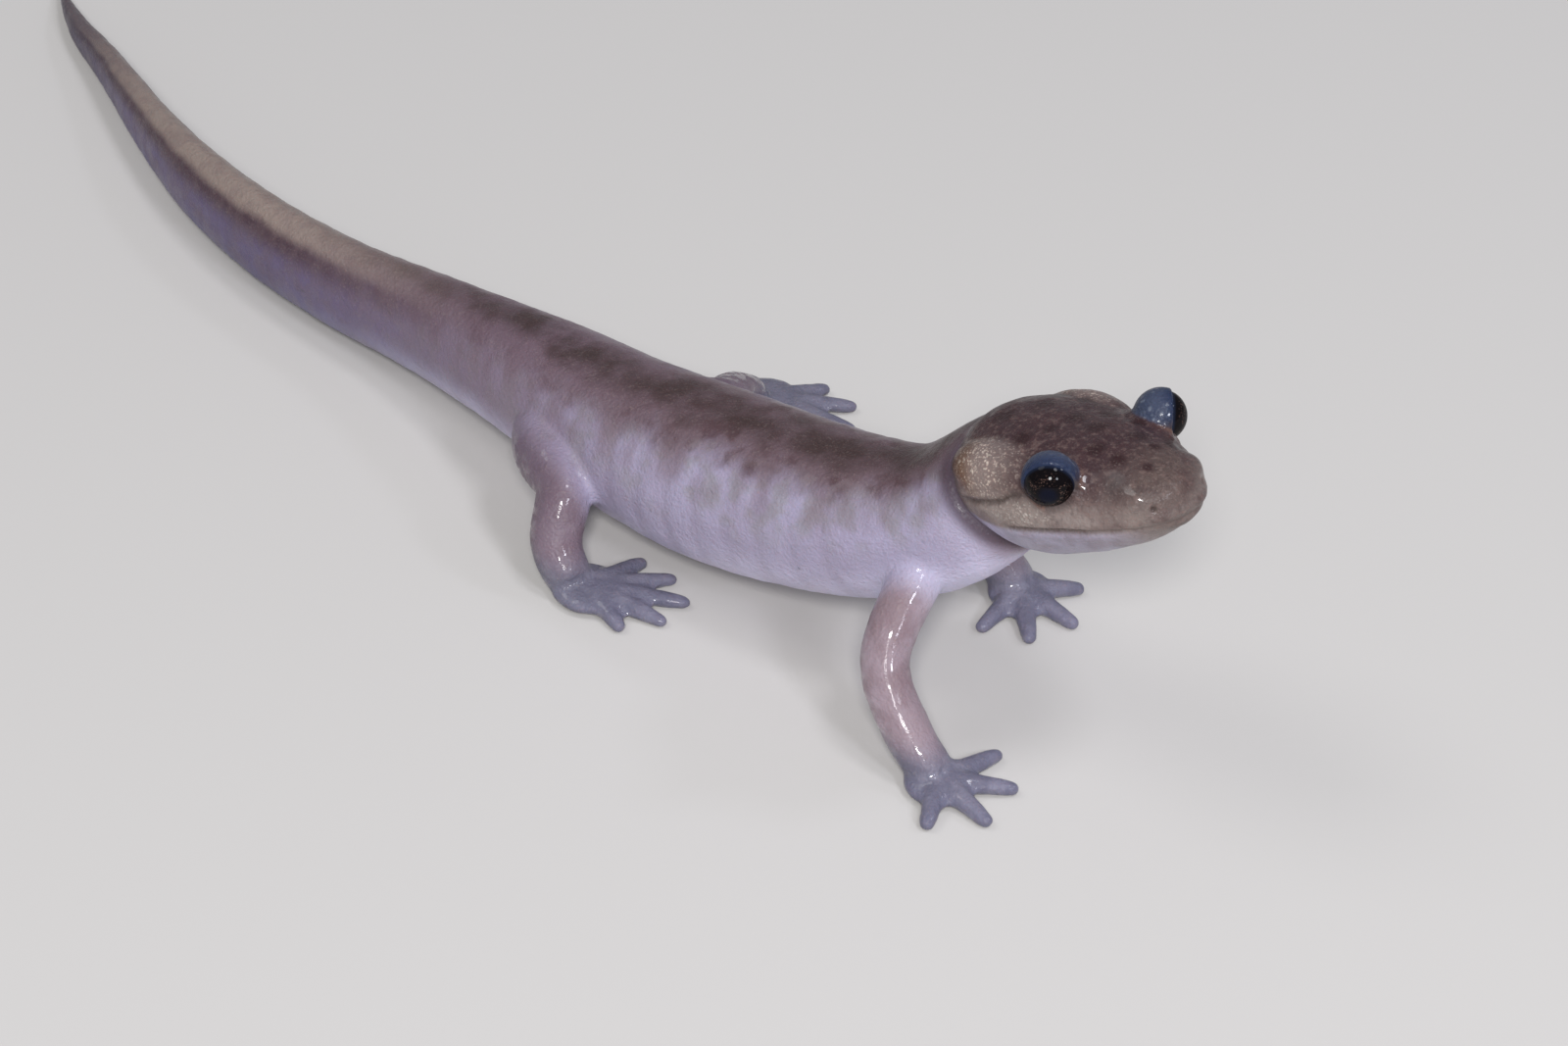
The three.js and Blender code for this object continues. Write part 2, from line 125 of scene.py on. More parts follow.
# %% Smooth values between stations
def curve_point(points, share):
    """A place on a smooth curve through the points, share running from 0 to 1."""
    steps = len(points) - 1
    i = min(int(share * steps), steps - 1)
    w = share * steps - i
    before = points[i - 1] if i else 2 * points[0] - points[1]
    after = points[i + 2] if i + 2 <= steps else 2 * points[-1] - points[-2]
    row = [before, points[i], points[i + 1], after]
    gaps = [math.sqrt((row[k + 1] - row[k]).length) for k in range(3)]
    slopes = []
    for k in (0, 1):
        first, second, third = row[k : k + 3]
        over_both = (third - first) / (gaps[k] + gaps[k + 1])
        slope = (second - first) / gaps[k] - over_both + (third - second) / gaps[k + 1]
        slopes.append(slope * gaps[1])
    return (
        row[1] * (2 * w**3 - 3 * w**2 + 1)
        + slopes[0] * (w**3 - 2 * w**2 + w)
        + row[2] * (3 * w**2 - 2 * w**3)
        + slopes[1] * (w**3 - w**2)
    )


OVERSHOOT = 0.15  # how far a size may pass its two stations, as a share of their difference


def eased(values, place):
    """A size between two stations, eased through their neighbours."""
    last = len(values) - 1
    i = max(0, min(int(place), last - 1))
    w = place - i
    before, here, there, after = (values[max(0, min(last, k))] for k in range(i - 1, i + 3))
    rise, next_rise = (there - before) / 2, (after - here) / 2
    between = here * (2 * w**3 - 3 * w**2 + 1) + there * (3 * w**2 - 2 * w**3)
    value = between + rise * (w**3 - 2 * w**2 + w) + next_rise * (w**3 - w**2)
    low, high = sorted((here, there))
    slack = OVERSHOOT * (high - low)
    return max(low - slack, min(high + slack, value))


NUDGE = 0.0005  # half the stretch of a curve that gives its direction


def axes_at(points, share, upright):
    """Ahead, left and up at a place on a curve."""
    behind, beyond_it = max(0, share - NUDGE), min(1, share + NUDGE)
    ahead = (curve_point(points, beyond_it) - curve_point(points, behind)).normalized()
    left = upright.cross(ahead).normalized()
    return ahead, left, ahead.cross(left)


def signed_power(value, power):
    """A power that keeps the sign."""
    return math.copysign(abs(value) ** power, value)


# %% Extrude a tube ring by ring
def deselect_all():
    bpy.ops.object.select_all(action="DESELECT")


def extruded_tube(name, rings, levels=1):
    """A closed tube through rings of points, one circle extruded from ring to ring."""
    deselect_all()
    bpy.ops.mesh.primitive_circle_add(vertices=len(rings[0]), radius=MM)
    tube = bpy.context.object
    tube.name = name
    bpy.ops.object.mode_set(mode="EDIT")
    mesh = bmesh.from_edit_mesh(tube.data)
    place = mesh.verts.layers.int.new("place")
    for number, vert in enumerate(mesh.verts):
        vert[place] = number
    for number, ring in enumerate(rings):
        if number:
            bpy.ops.mesh.extrude_region_move()
            mesh = bmesh.from_edit_mesh(tube.data)
            place = mesh.verts.layers.int["place"]
        for vert in mesh.verts:
            if vert.select:
                vert.co = ring[vert[place]]
    bpy.ops.mesh.edge_face_add()
    mesh = bmesh.from_edit_mesh(tube.data)
    place = mesh.verts.layers.int["place"]
    mesh.verts.ensure_lookup_table()
    for vert in mesh.verts:
        vert.select = vert.index < len(rings[0])
    mesh.select_flush(True)
    bmesh.update_edit_mesh(tube.data)
    bpy.ops.mesh.edge_face_add()
    bpy.ops.mesh.select_all(action="SELECT")
    bpy.ops.mesh.normals_make_consistent(inside=False)
    bpy.ops.object.mode_set(mode="OBJECT")
    if levels:
        subdivide(tube, levels)
    return tube


def subdivide(piece, levels):
    modifier = piece.modifiers.new("round", "SUBSURF")
    modifier.levels = modifier.render_levels = levels
    bpy.context.view_layer.objects.active = piece
    bpy.ops.object.modifier_apply(modifier=modifier.name)


# %% [markdown]
# ## Trunk and tail
# The table runs down the spine in millimetres, from the tail's tip to the nape, and gives the
# half width and the heights above and below the spine. The tail is flattened from side to
# side, with a rounded ridge of glands on top. The trunk is almost round. Faint grooves run
# down the flanks between the ribs, and they are pressed in later, on the finished skin.

# %% The spine's stations
SPINE = [  # x, y, z, half width, up, down
    (-63.3, 9.2, 0.45, 0.12, 0.15, 0.15),
    (-56.6, 6.3, 1.0, 0.7, 1.05, 1.03),
    (-49.7, 4.3, 1.6, 1.0, 1.65, 1.65),
    (-40.3, 1.4, 2.15, 1.4, 2.4, 2.35),
    (-32.4, -0.5, 2.6, 1.8, 3.0, 2.8),
    (-24.0, -1.4, 3.0, 2.1, 3.3, 3.1),
    (-16.0, -1.2, 3.4, 2.4, 3.4, 3.25),
    (-9.0, -0.4, 3.9, 2.8, 3.5, 3.4),
    (-3.0, -0.1, 4.6, 3.4, 3.6, 3.6),
    (4.0, 0.0, 5.4, 4.2, 4.0, 4.1),
    (10.0, 0.0, 5.7, 4.9, 4.5, 4.6),
    (18.5, 0.9, 6.5, 5.4, 4.9, 5.1),
    (28.5, 2.6, 8.6, 4.9, 4.4, 4.7),
    (33.0, 3.9, 10.8, 4.3, 3.7, 4.6),
    (36.3, 5.3, 14.1, 4.0, 3.7, 4.1),
    (38.6, 6.1, 16.8, 4.0, 3.3, 3.8),
]
TAIL_FIRST, VENT, HIP, SHOULDER, NAPE = 6, 8, 9, 13, 15  # rows of the table
spine_points = [PELVIS + Vector(row[:3]) * MM for row in SPINE]
spine_side, spine_up, spine_down = ([row[k] * MM for row in SPINE] for k in (3, 4, 5))
WORLD_UP = Vector((0, 0, 1))
print("stations along the spine:", len(SPINE))


def smooth_step(low, high, value):
    """0 at low, 1 at high and eased in between."""
    w = np.clip((value - low) / (high - low), 0, 1)
    return w * w * (3 - 2 * w)


# %% Sweep the trunk and tail
BODY_SIDES = 40
BODY_POWER = 0.95  # 1 gives an oval section, and less a fuller one
TAIL_PINCH = 0.28  # added to the power towards the tail's upper and lower edge


def body_ring(place):
    share = place / (len(SPINE) - 1)
    centre = curve_point(spine_points, share)
    _, left, up = axes_at(spine_points, share, WORLD_UP)
    in_tail = 1 - smooth_step(TAIL_FIRST, VENT, place)
    ring = []
    for k in range(BODY_SIDES):
        angle = 2 * math.pi * k / BODY_SIDES
        power = BODY_POWER + TAIL_PINCH * in_tail * abs(math.sin(angle))
        across = signed_power(math.cos(angle), power) * eased(spine_side, place)
        rise = eased(spine_up if math.sin(angle) > 0 else spine_down, place)
        ring.append(centre + left * across + up * rise * signed_power(math.sin(angle), BODY_POWER))
    return ring


tip_places = np.linspace(0, 0.5, 5)
body_places = np.concatenate([tip_places, np.linspace(0.75, NAPE, 70)])
body = extruded_tube("body", [body_ring(place) for place in body_places])
print("body faces:", len(body.data.polygons))

# %% [markdown]
# ## The head
# Seen from above the head is a broad, blunt wedge, and from the side it is low with a rounded
# snout. Such a form could be pulled out of a cube with proportional editing. It is swept from the
# nape to the snout instead, in the head's own axes, because a table of five sizes for each
# section can be read and mended row by row.

# %% Sweep the head
HEAD = [  # x, half width, top, middle, bottom
    (-9.6, 1.2, -0.7, -1.9, -2.4),
    (-9.0, 3.3, 0.55, -1.9, -3.2),
    (-7.5, 4.7, 1.15, -1.9, -4.6),
    (-5.0, 5.35, 1.3, -1.9, -6.05),
    (-2.5, 5.25, 1.15, -2.0, -6.2),
    (0.0, 4.65, 0.95, -2.1, -5.65),
    (2.0, 4.0, 0.55, -2.2, -5.08),
    (3.7, 3.15, 0.05, -2.2, -4.45),
    (4.9, 2.2, -0.5, -2.2, -3.82),
    (5.6, 1.2, -1.0, -2.2, -3.4),
    (5.75, 0.25, -1.75, -2.2, -2.6),
]
HEAD_SIDES, HEAD_RINGS = 40, 41
CROWN_POWERS = (0.95, 1.05)  # across and up, read as the body's power
JAW_POWERS = (0.8, 0.95)


def head_ring(place):
    x, side, top, mid, bottom = (eased([row[k] for row in HEAD], place) for k in range(5))
    ring = []
    for k in range(HEAD_SIDES):
        angle = 2 * math.pi * k / HEAD_SIDES
        above = math.sin(angle) > 0
        across_power, up_power = CROWN_POWERS if above else JAW_POWERS
        across = signed_power(math.cos(angle), across_power) * side
        tall = signed_power(math.sin(angle), up_power) * (top - mid if above else mid - bottom)
        ring.append(head_axes @ (Vector((x, across, mid + tall)) * MM))
    return ring


head_places = np.linspace(0, len(HEAD) - 1, HEAD_RINGS)
head = extruded_tube("head_form", [head_ring(place) for place in head_places])
print("head faces:", len(head.data.polygons))

# %% [markdown]
# ## Glands and lids
# A swollen gland lies behind each eye, and each eye stands out like half a bead under its lid.
# Both could be pulled out of the head's faces, but the faces would stretch there. A sphere
# scaled to each swelling and sunk into the head keeps its round form until all is fused.


# %% Add the swellings
def swelling(name, at, half, axes=head_axes):
    """A sphere scaled to a soft swelling, placed in the head's axes."""
    deselect_all()
    bpy.ops.mesh.primitive_uv_sphere_add(segments=48, ring_count=32, radius=1)
    piece = bpy.context.object
    piece.name = name
    size = Matrix.Diagonal((*[h * MM for h in half], 1))
    piece.data.transform(axes @ Matrix.Translation(Vector(at) * MM) @ size)
    return piece


GLAND_AT, GLAND_HALF = (-5.0, 3.35, -0.95), (3.6, 1.95, 1.75)
EYE_AT = (0, EYE_SPREAD / MM, 0)  # the left eyeball in the head's axes
LID_RADIUS = EYE_RADIUS / MM + 0.14  # before the lid is drawn close to the ball
swellings = []
for side, sign in (("left", 1), ("right", -1)):
    for name, at, half in (("gland_", GLAND_AT, GLAND_HALF), ("lid_", EYE_AT, (LID_RADIUS,) * 3)):
        swellings.append(swelling(name + side, (at[0], sign * at[1], at[2]), half))
print("swellings:", [piece.name for piece in swellings])

# %% [markdown]
# ## Arms, legs and digits
# The limbs are short, soft tubes with little muscle. Each arm ends in four fingers and each
# leg in five toes, which spread from a flat palm and lie on the ground. Every tube follows
# its own joints, and the digits fan out from the palm by their turn about the vertical.

# %% The limbs' joints
ARM = {"radii": [1.9, 1.6, 1.45, 1.42, 1.35], "palm_half": (2.05, 2.0, 0.62), "hub": 0.9}
LEG = {"radii": [2.3, 2.0, 1.7, 1.6, 1.4], "palm_half": (2.45, 2.1, 0.66), "hub": 1.0}
LIMBS = {  # each digit has its turn from straight ahead, in degrees, and its length
    "arm_right": {
        **ARM,
        "joints": [
            (32.6, 3.6, 10.6), (34.4, 1.0, 9.0), (35.9, -3.1, 5.5),
            (38.6, -3.9, 2.6), (41.0, -3.9, 0.55),
        ],
        "palm": (41.4, -3.95, 0.5),
        "digits": [(84, 4.5), (42, 4.5), (-3, 4.4), (-55, 3.8)],
    },
    "arm_left": {
        **ARM,
        "joints": [
            (32.6, 4.4, 10.6), (31.6, 7.3, 9.0), (29.0, 10.5, 5.5),
            (30.0, 11.2, 2.6), (32.0, 11.5, 0.55),
        ],
        "palm": (32.4, 11.4, 0.5),
        "digits": [(-80, 4.3), (-38, 4.5), (4, 4.4), (55, 3.8)],
    },
    "leg_right": {
        **LEG,
        "joints": [
            (4.6, -0.4, 5.2), (7.6, -4.4, 5.4), (11.2, -5.9, 4.9),
            (12.4, -7.6, 2.6), (14.2, -8.0, 0.8),
        ],
        "palm": (15.0, -7.4, 0.55),
        "digits": [(88, 4.4), (60, 5.4), (37, 6.2), (15, 5.6), (-12, 4.2)],
    },
    "leg_left": {
        **LEG,
        "joints": [
            (4.6, 0.6, 4.8), (7.2, 4.2, 4.3), (9.6, 7.6, 3.6),
            (8.2, 10.2, 2.2), (7.6, 12.2, 0.8),
        ],
        "palm": (8.3, 13.0, 0.55),
        "digits": [(-30, 4.4), (-5, 5.4), (20, 6.2), (44, 5.6), (70, 4.2)],
    },
}
for limb in LIMBS.values():
    limb["line"] = [PELVIS + Vector(joint) * MM for joint in limb["joints"]]
print("digits:", {name: len(limb["digits"]) for name, limb in LIMBS.items()})


# %% Tubes of round section
TIP_FROM = 0.88  # where a digit starts to round off


def rounded_end(share):
    """1 along a digit, falling to a tenth at its tip."""
    past = max(0, (share - TIP_FROM) / (1 - TIP_FROM))
    return math.sqrt(max(0.01, 1 - past**2))


def round_tube(name, points, radii, shares, sides, upright, flat=1.0):
    """A tube of round section along points; a digit is flatter than 1 and has a round end."""
    rings = []
    turns = [2 * math.pi * k / sides for k in range(sides)]
    for share in shares:
        centre = curve_point(points, share)
        _, left, up = axes_at(points, share, upright)
        radius = eased(radii, share * (len(radii) - 1)) * MM * (rounded_end(share) if flat < 1 else 1)
        rings.append([centre + (left * math.cos(a) + up * math.sin(a) * flat) * radius for a in turns])
    return extruded_tube(name, rings)


# %% The line of a digit
DIGIT_RADII = [0.95, 0.66, 0.52, 0.4]
DIGIT_HEIGHTS = [0.5, 0.5, 0.4, 0.3]  # of its middle over the ground
DIGIT_SHARES = 1 - (1 - np.linspace(0, 1, 14)) ** 1.6  # rings lie closer towards the tip
DIGIT_SIDES, DIGIT_FLATNESS = 12, 0.9


def digit_line(palm, hub, turn, length):
    ahead = Vector((math.cos(math.radians(turn)), math.sin(math.radians(turn)), 0))
    runs = [hub * 0.3, hub + 0.35 * (length - hub), hub + 0.75 * (length - hub), length]
    start = Vector((palm[0], palm[1], 0))
    return [PELVIS + (start + ahead * run + WORLD_UP * z) * MM for run, z in zip(runs, DIGIT_HEIGHTS)]


# %% Model the limbs
LIMB_UPRIGHT = Vector((1, 0, 0.3)).normalized()
LIMB_SHARES, LIMB_SIDES = np.linspace(0, 1, 20), 20
limb_pieces = []
for name, limb in LIMBS.items():
    limb_pieces.append(round_tube(name, limb["line"], limb["radii"], LIMB_SHARES, LIMB_SIDES, LIMB_UPRIGHT))
    palm_at = PELVIS / MM + Vector(limb["palm"])
    limb_pieces.append(swelling(name + "_palm", palm_at, limb["palm_half"], Matrix()))
    for number, (turn, length) in enumerate(limb["digits"]):
        line = digit_line(limb["palm"], limb["hub"], turn, length)
        shape = (line, DIGIT_RADII, DIGIT_SHARES, DIGIT_SIDES, WORLD_UP, DIGIT_FLATNESS)
        limb_pieces.append(round_tube(f"{name}_digit_{number}", *shape))
print("limb pieces:", len(limb_pieces))

# %% [markdown]
# ## One skin
# The separate forms now become one closed surface. A Boolean union would leave a sharp crease
# where an arm leaves the chest. A voxel remesh wraps everything in an even net instead: the
# forms are first swollen a little so that they fuse, and the new skin is drawn back by as much,
# which leaves a soft fillet in each crease.

# %% Fuse the forms
VOXEL = 0.125 * MM
SWELL = 0.22 * MM


def apply_modifier(piece, kind, **settings):
    modifier = piece.modifiers.new(kind.lower(), kind)
    for key, value in settings.items():
        setattr(modifier, key, value)
    bpy.context.view_layer.objects.active = piece
    bpy.ops.object.modifier_apply(modifier=modifier.name)


deselect_all()
for piece in [body, head, *swellings, *limb_pieces]:
    piece.select_set(True)
bpy.context.view_layer.objects.active = body
bpy.ops.object.join()
skin = body
skin.name = "skin"
apply_modifier(skin, "REMESH", mode="VOXEL", voxel_size=VOXEL)
apply_modifier(skin, "DISPLACE", strength=SWELL, mid_level=0)
apply_modifier(skin, "REMESH", mode="VOXEL", voxel_size=VOXEL)
apply_modifier(skin, "DISPLACE", strength=-SWELL, mid_level=0)
apply_modifier(skin, "SMOOTH", factor=0.5, iterations=6)
print("skin faces:", len(skin.data.polygons))

# %% [markdown]
# ## Reading the skin
# To press a mouth into the skin, each point has to know where on the animal it is. The next
# cell finds for every point its place along the spine, how far round and how far out it lies,
# and where it is in the head's own axes.


# %% Find each point's place on the body
def points_of(piece):
    flat = np.empty(len(piece.data.vertices) * 3)
    piece.data.vertices.foreach_get("co", flat)
    return flat.reshape(-1, 3) / MM


def normals_of(piece):
    flat = np.empty(len(piece.data.vertices) * 3)
    piece.data.vertices.foreach_get("normal", flat)
    return flat.reshape(-1, 3)


def set_points(piece, points):
    piece.data.vertices.foreach_set("co", (points * MM).ravel())
    piece.data.update()


SAMPLES = 600
sample_places = np.linspace(0, NAPE, SAMPLES)
sample_centres, sample_left, sample_up, sample_sizes = [], [], [], []
for place in sample_places:
    share = place / NAPE
    centre = curve_point(spine_points, share)
    _, left, up = axes_at(spine_points, share, WORLD_UP)
    sample_centres.append(centre / MM)
    sample_left.append(left)
    sample_up.append(up)
    sample_sizes.append([eased(values, place) / MM for values in (spine_side, spine_up, spine_down)])
sample_centres, sample_left, sample_up, sample_sizes = map(
    np.array, (sample_centres, sample_left, sample_up, sample_sizes)
)
spine_tree = kdtree.KDTree(SAMPLES)
for number, centre in enumerate(sample_centres):
    spine_tree.insert(centre, number)
spine_tree.balance()
head_inverse = np.array((Matrix.Translation(head_at / MM) @ head_turn).inverted())


def read_body(points):
    """Place on the spine, height from -1 at the belly to 1 on the back, side, and reach past the body."""
    nearest = np.array([spine_tree.find(point)[1] for point in points])
    offset = points - sample_centres[nearest]
    across = (offset * sample_left[nearest]).sum(1)
    tall = (offset * sample_up[nearest]).sum(1)
    sizes = sample_sizes[nearest]
    rise = np.where(tall > 0, sizes[:, 1], sizes[:, 2])
    out = np.hypot(across / sizes[:, 0], tall / rise)
    beyond = (out - 1) * np.hypot(across, tall) / np.maximum(out, 1e-6)
    return sample_places[nearest], tall / rise, across / sizes[:, 0], beyond


def read_head(points):
    return points @ head_inverse[:3, :3].T + head_inverse[:3, 3]


HEAD_BACK, HEAD_REACH = -9.5, 7  # the head's rear end and its reach to each side
BELOW_NECK = -9  # a height below the throat, in the head's axes
points = points_of(skin)
place, height, across, beyond = read_body(points)
in_head = read_head(points)
print("points:", len(points), "furthest from the spine's skin, mm:", round(float(beyond.max()), 2))

# %% [markdown]
# ## Pressing in the face and the flanks
# The details of a soft face are shallow dents and low swellings. They could be sculpted with
# brushes, but a brush leaves no record. Here each one is a short sum over the points: how near
# a point is to the lips' line, for example, gives how far it sinks along its normal.


# %% The line of the mouth and the lips
def bump_at(value, centre, width):
    """1 at a centre, falling softly to 0 on both sides."""
    return np.exp(-(((value - centre) / width) ** 2))


SNOUT = 5.75
MOUTH_LEVEL, MOUTH_CORNER, JAW_HINGE = -3.25, -3.7, -4.7
LIPS = [  # height over the mouth's line, width, rise at the side, and what the front adds to it
    (0.0, 0.13, -0.2, 0.12),
    (0.38, 0.28, 0.06, 0.06),
    (-0.42, 0.3, 0.08, -0.08),
    (-0.7, 0.5, 0.0, -0.1),
]


def mouth_line(x):
    """Height of the closed mouth at a distance along the head."""
    return MOUTH_LEVEL + 0.28 * smooth_step(JAW_HINGE, 1.5, x) + 0.12 * smooth_step(2.5, SNOUT, x)


def along_mouth(x):
    """1 along the mouth and 0 behind its corner."""
    return smooth_step(MOUTH_CORNER - 0.3, MOUTH_CORNER + 0.9, x)


hx, hy, hz = in_head.T
near_head = np.abs(hy) < HEAD_REACH
on_head = (hx > HEAD_BACK) * (hz > -7.2) * near_head
front = smooth_step(1.5, 5.0, hx)
moved = np.zeros(len(points))
for over, width, rise, front_adds in LIPS:
    lip = bump_at(hz, mouth_line(hx) + over, width)
    moved += (rise + front_adds * front) * on_head * along_mouth(hx) * lip
print("lips and mouth reach from", round(moved.min(), 2), "to", round(moved.max(), 2), "mm")

# %% Nostrils, their hills and the hollow in front of the eye
NOSTRIL_AT, HILL_AT, HOLLOW_AT = (5.1, 1.9, -1.83), (4.3, 2.3, -1.25), (2.95, 2.8, -0.9)
HILL_HALF = (1.15, 0.8, 0.6)
SNOUT_FORMS = [  # place, half sizes, and how far it rises or sinks
    (NOSTRIL_AT, (0.17, 0.17, 0.17), -0.24),
    (HILL_AT, HILL_HALF, 0.27),
    (HOLLOW_AT, (0.7, 0.8, 0.7), -0.12),
]


def gap_to(place, points_in_head, half=(1, 1, 1)):
    """Distance from a place on either side of the head, as a share of the half sizes."""
    x, y, z = points_in_head.T
    gaps = ((x - place[0]) / half[0], (np.abs(y) - place[1]) / half[1], (z - place[2]) / half[2])
    return np.sqrt(gaps[0] ** 2 + gaps[1] ** 2 + gaps[2] ** 2)


def dome(gap):
    """1 in the middle, falling softly to 0."""
    return np.exp(-(gap**2))


for at, half, rise in SNOUT_FORMS:
    moved += rise * on_head * dome(gap_to(at, in_head, half))
hill_gap = gap_to(HILL_AT, in_head, HILL_HALF)
print("points on the hills of the nostrils:", int((on_head * (hill_gap < 1)).sum()))


# %% The groove behind the eye and the fold behind the head
EYE_GROOVE_DEPTH, FOLD_DEPTH = 0.2, 0.3


def groove_height(x):
    """Height of the groove behind the eye at a distance along the head."""
    return -1.75 + 0.2 * (x + 4.0) + 0.3 * smooth_step(-4.0, -2.2, x)


def fold_line(z):
    """How far back the fold behind the head lies, at a height in the head's axes."""
    return -8.7 + 0.5 * np.clip(-1.2 - z, 0, 5.5) ** 1.15


groove = on_head * smooth_step(-8.0, -6.2, hx) * smooth_step(-1.4, -2.4, hx)
moved -= EYE_GROOVE_DEPTH * groove * bump_at(hz, groove_height(hx), 0.2)
fold = near_head * (hz > BELOW_NECK) * (beyond < 3) * bump_at(hx, fold_line(hz), 0.3)
moved -= FOLD_DEPTH * fold * smooth_step(0.8, -0.6, hz) * smooth_step(0.4, -3.0, hz)
print("deepest dent so far, mm:", round(moved.min(), 2))

# %% [markdown]
# ## Ribs and unevenness
# The flanks of the living animal show a row of shallow grooves, one between each two ribs, and
# the skin is nowhere quite smooth. A texture could fake both, but the edge of the body would stay
# perfectly even. A wave along the spine and a little noise move the points themselves.

# %% Grooves between the ribs
RIB_GROOVES = 11
RIB_GROOVE_DEPTH = 0.08
run_steps = np.linalg.norm(np.diff(sample_centres, axis=0), axis=1)
run_samples = np.r_[0, np.cumsum(run_steps)]
FIRST_RIB, LAST_RIB = HIP + 0.45, SHOULDER - 0.55


def run_of(place):
    """Distance along the spine from the tail's tip, in millimetres."""
    return np.interp(place, sample_places, run_samples)


def wave_of(place):
    """1 in the middle of each groove between two ribs, and 0 on a rib."""
    start, end = run_of(FIRST_RIB), run_of(LAST_RIB)
    run = np.clip((run_of(place) - start) / (end - start), 0, 1)
    wave = (0.5 + 0.5 * np.cos(run * RIB_GROOVES * 2 * math.pi)) ** 3
    return wave * np.clip(np.sin(run * math.pi), 0, 1) ** 0.4


moved -= RIB_GROOVE_DEPTH * wave_of(place) * np.clip(0.9 - height**2, 0, 1) * (beyond < 0.4)
print("length of the spine, mm:", round(float(run_samples[-1]), 1))


# %% A rim round each eye and a soft unevenness all over
def lumps(points, size, seed=0.0):
    """A smooth random height at each point, about -1 to 1."""
    shift = Vector((seed, seed, seed))
    return np.array([noise.noise(Vector(point) / size + shift) for point in points])


eye_gap = gap_to(EYE_AT, in_head)
EYE_RIM_RISE, EYE_RIM_RADIUS, EYE_RIM_WIDTH = 0.07, LID_RADIUS + 0.28, 0.16
moved += EYE_RIM_RISE * on_head * bump_at(eye_gap, EYE_RIM_RADIUS, EYE_RIM_WIDTH)
off_lid = eye_gap > LID_RADIUS + 0.5
near_nostril = on_head * dome(hill_gap / 1.6)
UNEVENNESS = [  # rise, size of the lumps, seed and where they are
    (0.035, 1.3, 0.0, off_lid),
    (0.018, 0.55, 7.0, off_lid),
    (0.03, 0.55, 5.0, near_nostril),
]
for rise, size, seed, where in UNEVENNESS:
    moved += rise * lumps(points, size, seed) * where
print("points on the rims of the eyes:", int((np.abs(eye_gap - EYE_RIM_RADIUS) < EYE_RIM_WIDTH).sum()))

# %% Move the points
points = points + normals_of(skin) * moved[:, None]
print("mean shift, mm:", round(float(np.abs(moved).mean()), 3))

# %% [markdown]
# ## Lids
# The eyes stand out like half beads. The skin runs over the back and top of each one as a thin
# grey lid and ends in a round rim in front. In the mesh the lid is drawn round the eyeball:
# points outside the rim lie just over the ball, and points inside it sink behind the ball, so
# that the ball itself comes through.

# %% Draw the lids round the eyeballs
GAZE = np.array((0.6, 0.755, -0.265))
RIM = 0.29  # how far out along the gaze the rim stands, as a share of the radius
LID_THICKNESS, SUNK_BEHIND = 0.07, 0.3
ball = EYE_RADIUS / MM
for sign in (1, -1):
    gaze = GAZE * (1, sign, 1)
    from_ball = read_head(points) - np.array(EYE_AT) * (1, sign, 1)
    distance = np.linalg.norm(from_ball, axis=1)
    outwards = from_ball / np.maximum(distance, 1e-6)[:, None]
    facing = outwards @ gaze
    inside_rim = smooth_step(RIM - 0.02, RIM + 0.1, facing)
    lid = np.maximum(distance, ball + LID_THICKNESS)
    target = lid * (1 - inside_rim) + (ball - SUNK_BEHIND) * inside_rim
    shift = (np.where(facing > RIM - 0.1, target, lid) - distance) * (distance < LID_RADIUS + 0.35)
    turned = outwards @ np.array(head_turn)[:3, :3].T
    points = points + turned * shift[:, None]
set_points(skin, points)
print("lids drawn at radius, mm:", round(ball + LID_THICKNESS, 2))

# %% Rest the skin on the ground
points = points_of(skin)
below = int((points[:, 2] < 0).sum())
points[:, 2] = np.maximum(points[:, 2], 0)
set_points(skin, points)
print("points lifted to the ground:", below)

# %% [markdown]
# ## A lighter mesh
# The even net spends as many faces on the smooth tail as on the lips. Decimate takes faces
# away where the surface is plain. A vertex group tells it to spare the head, the hands and
# the feet.

# %% Thin out the mesh
SKIN_TRIANGLES = 190000
SPARE_HEAD, SPARE_FEET, SPARE_REST = 1.0, 0.8, 0.25
LOWEST_OF_HEAD, TOP_OF_FEET = 6, 1.6  # heights over the ground
points = points_of(skin)
of_head = (read_head(points)[:, 0] > HEAD_BACK) & (points[:, 2] > LOWEST_OF_HEAD)
of_feet = (points[:, 2] < TOP_OF_FEET) & (read_body(points)[3] > 0.6)
spare = np.where(of_feet, SPARE_FEET, np.where(of_head, SPARE_HEAD, SPARE_REST))
group = skin.vertex_groups.new(name="spare")
for weight in np.unique(spare):
    group.add(np.where(spare == weight)[0].tolist(), float(weight), "REPLACE")


def count_triangles():
    return sum(len(face.vertices) - 2 for face in skin.data.polygons)


triangles = count_triangles()
if triangles > SKIN_TRIANGLES:
    share = SKIN_TRIANGLES / triangles
    apply_modifier(skin, "DECIMATE", ratio=share, vertex_group="spare", invert_vertex_group=True)
deselect_all()
skin.select_set(True)
bpy.context.view_layer.objects.active = skin
bpy.ops.object.shade_smooth()
print("triangles before and after:", triangles, count_triangles())

# %% [markdown]
# ## Marking the skin
# The colours of the animal follow its body: a narrow brown back, lilac flanks, a pale belly,
# pinkish limbs, blue-grey hands and feet, gold-flecked glands and blue-grey lids. They could be
# painted by hand. Here each zone is kept as a number at every point of the mesh, an attribute
# that the material reads, so that the zones stay true to the body from every side.

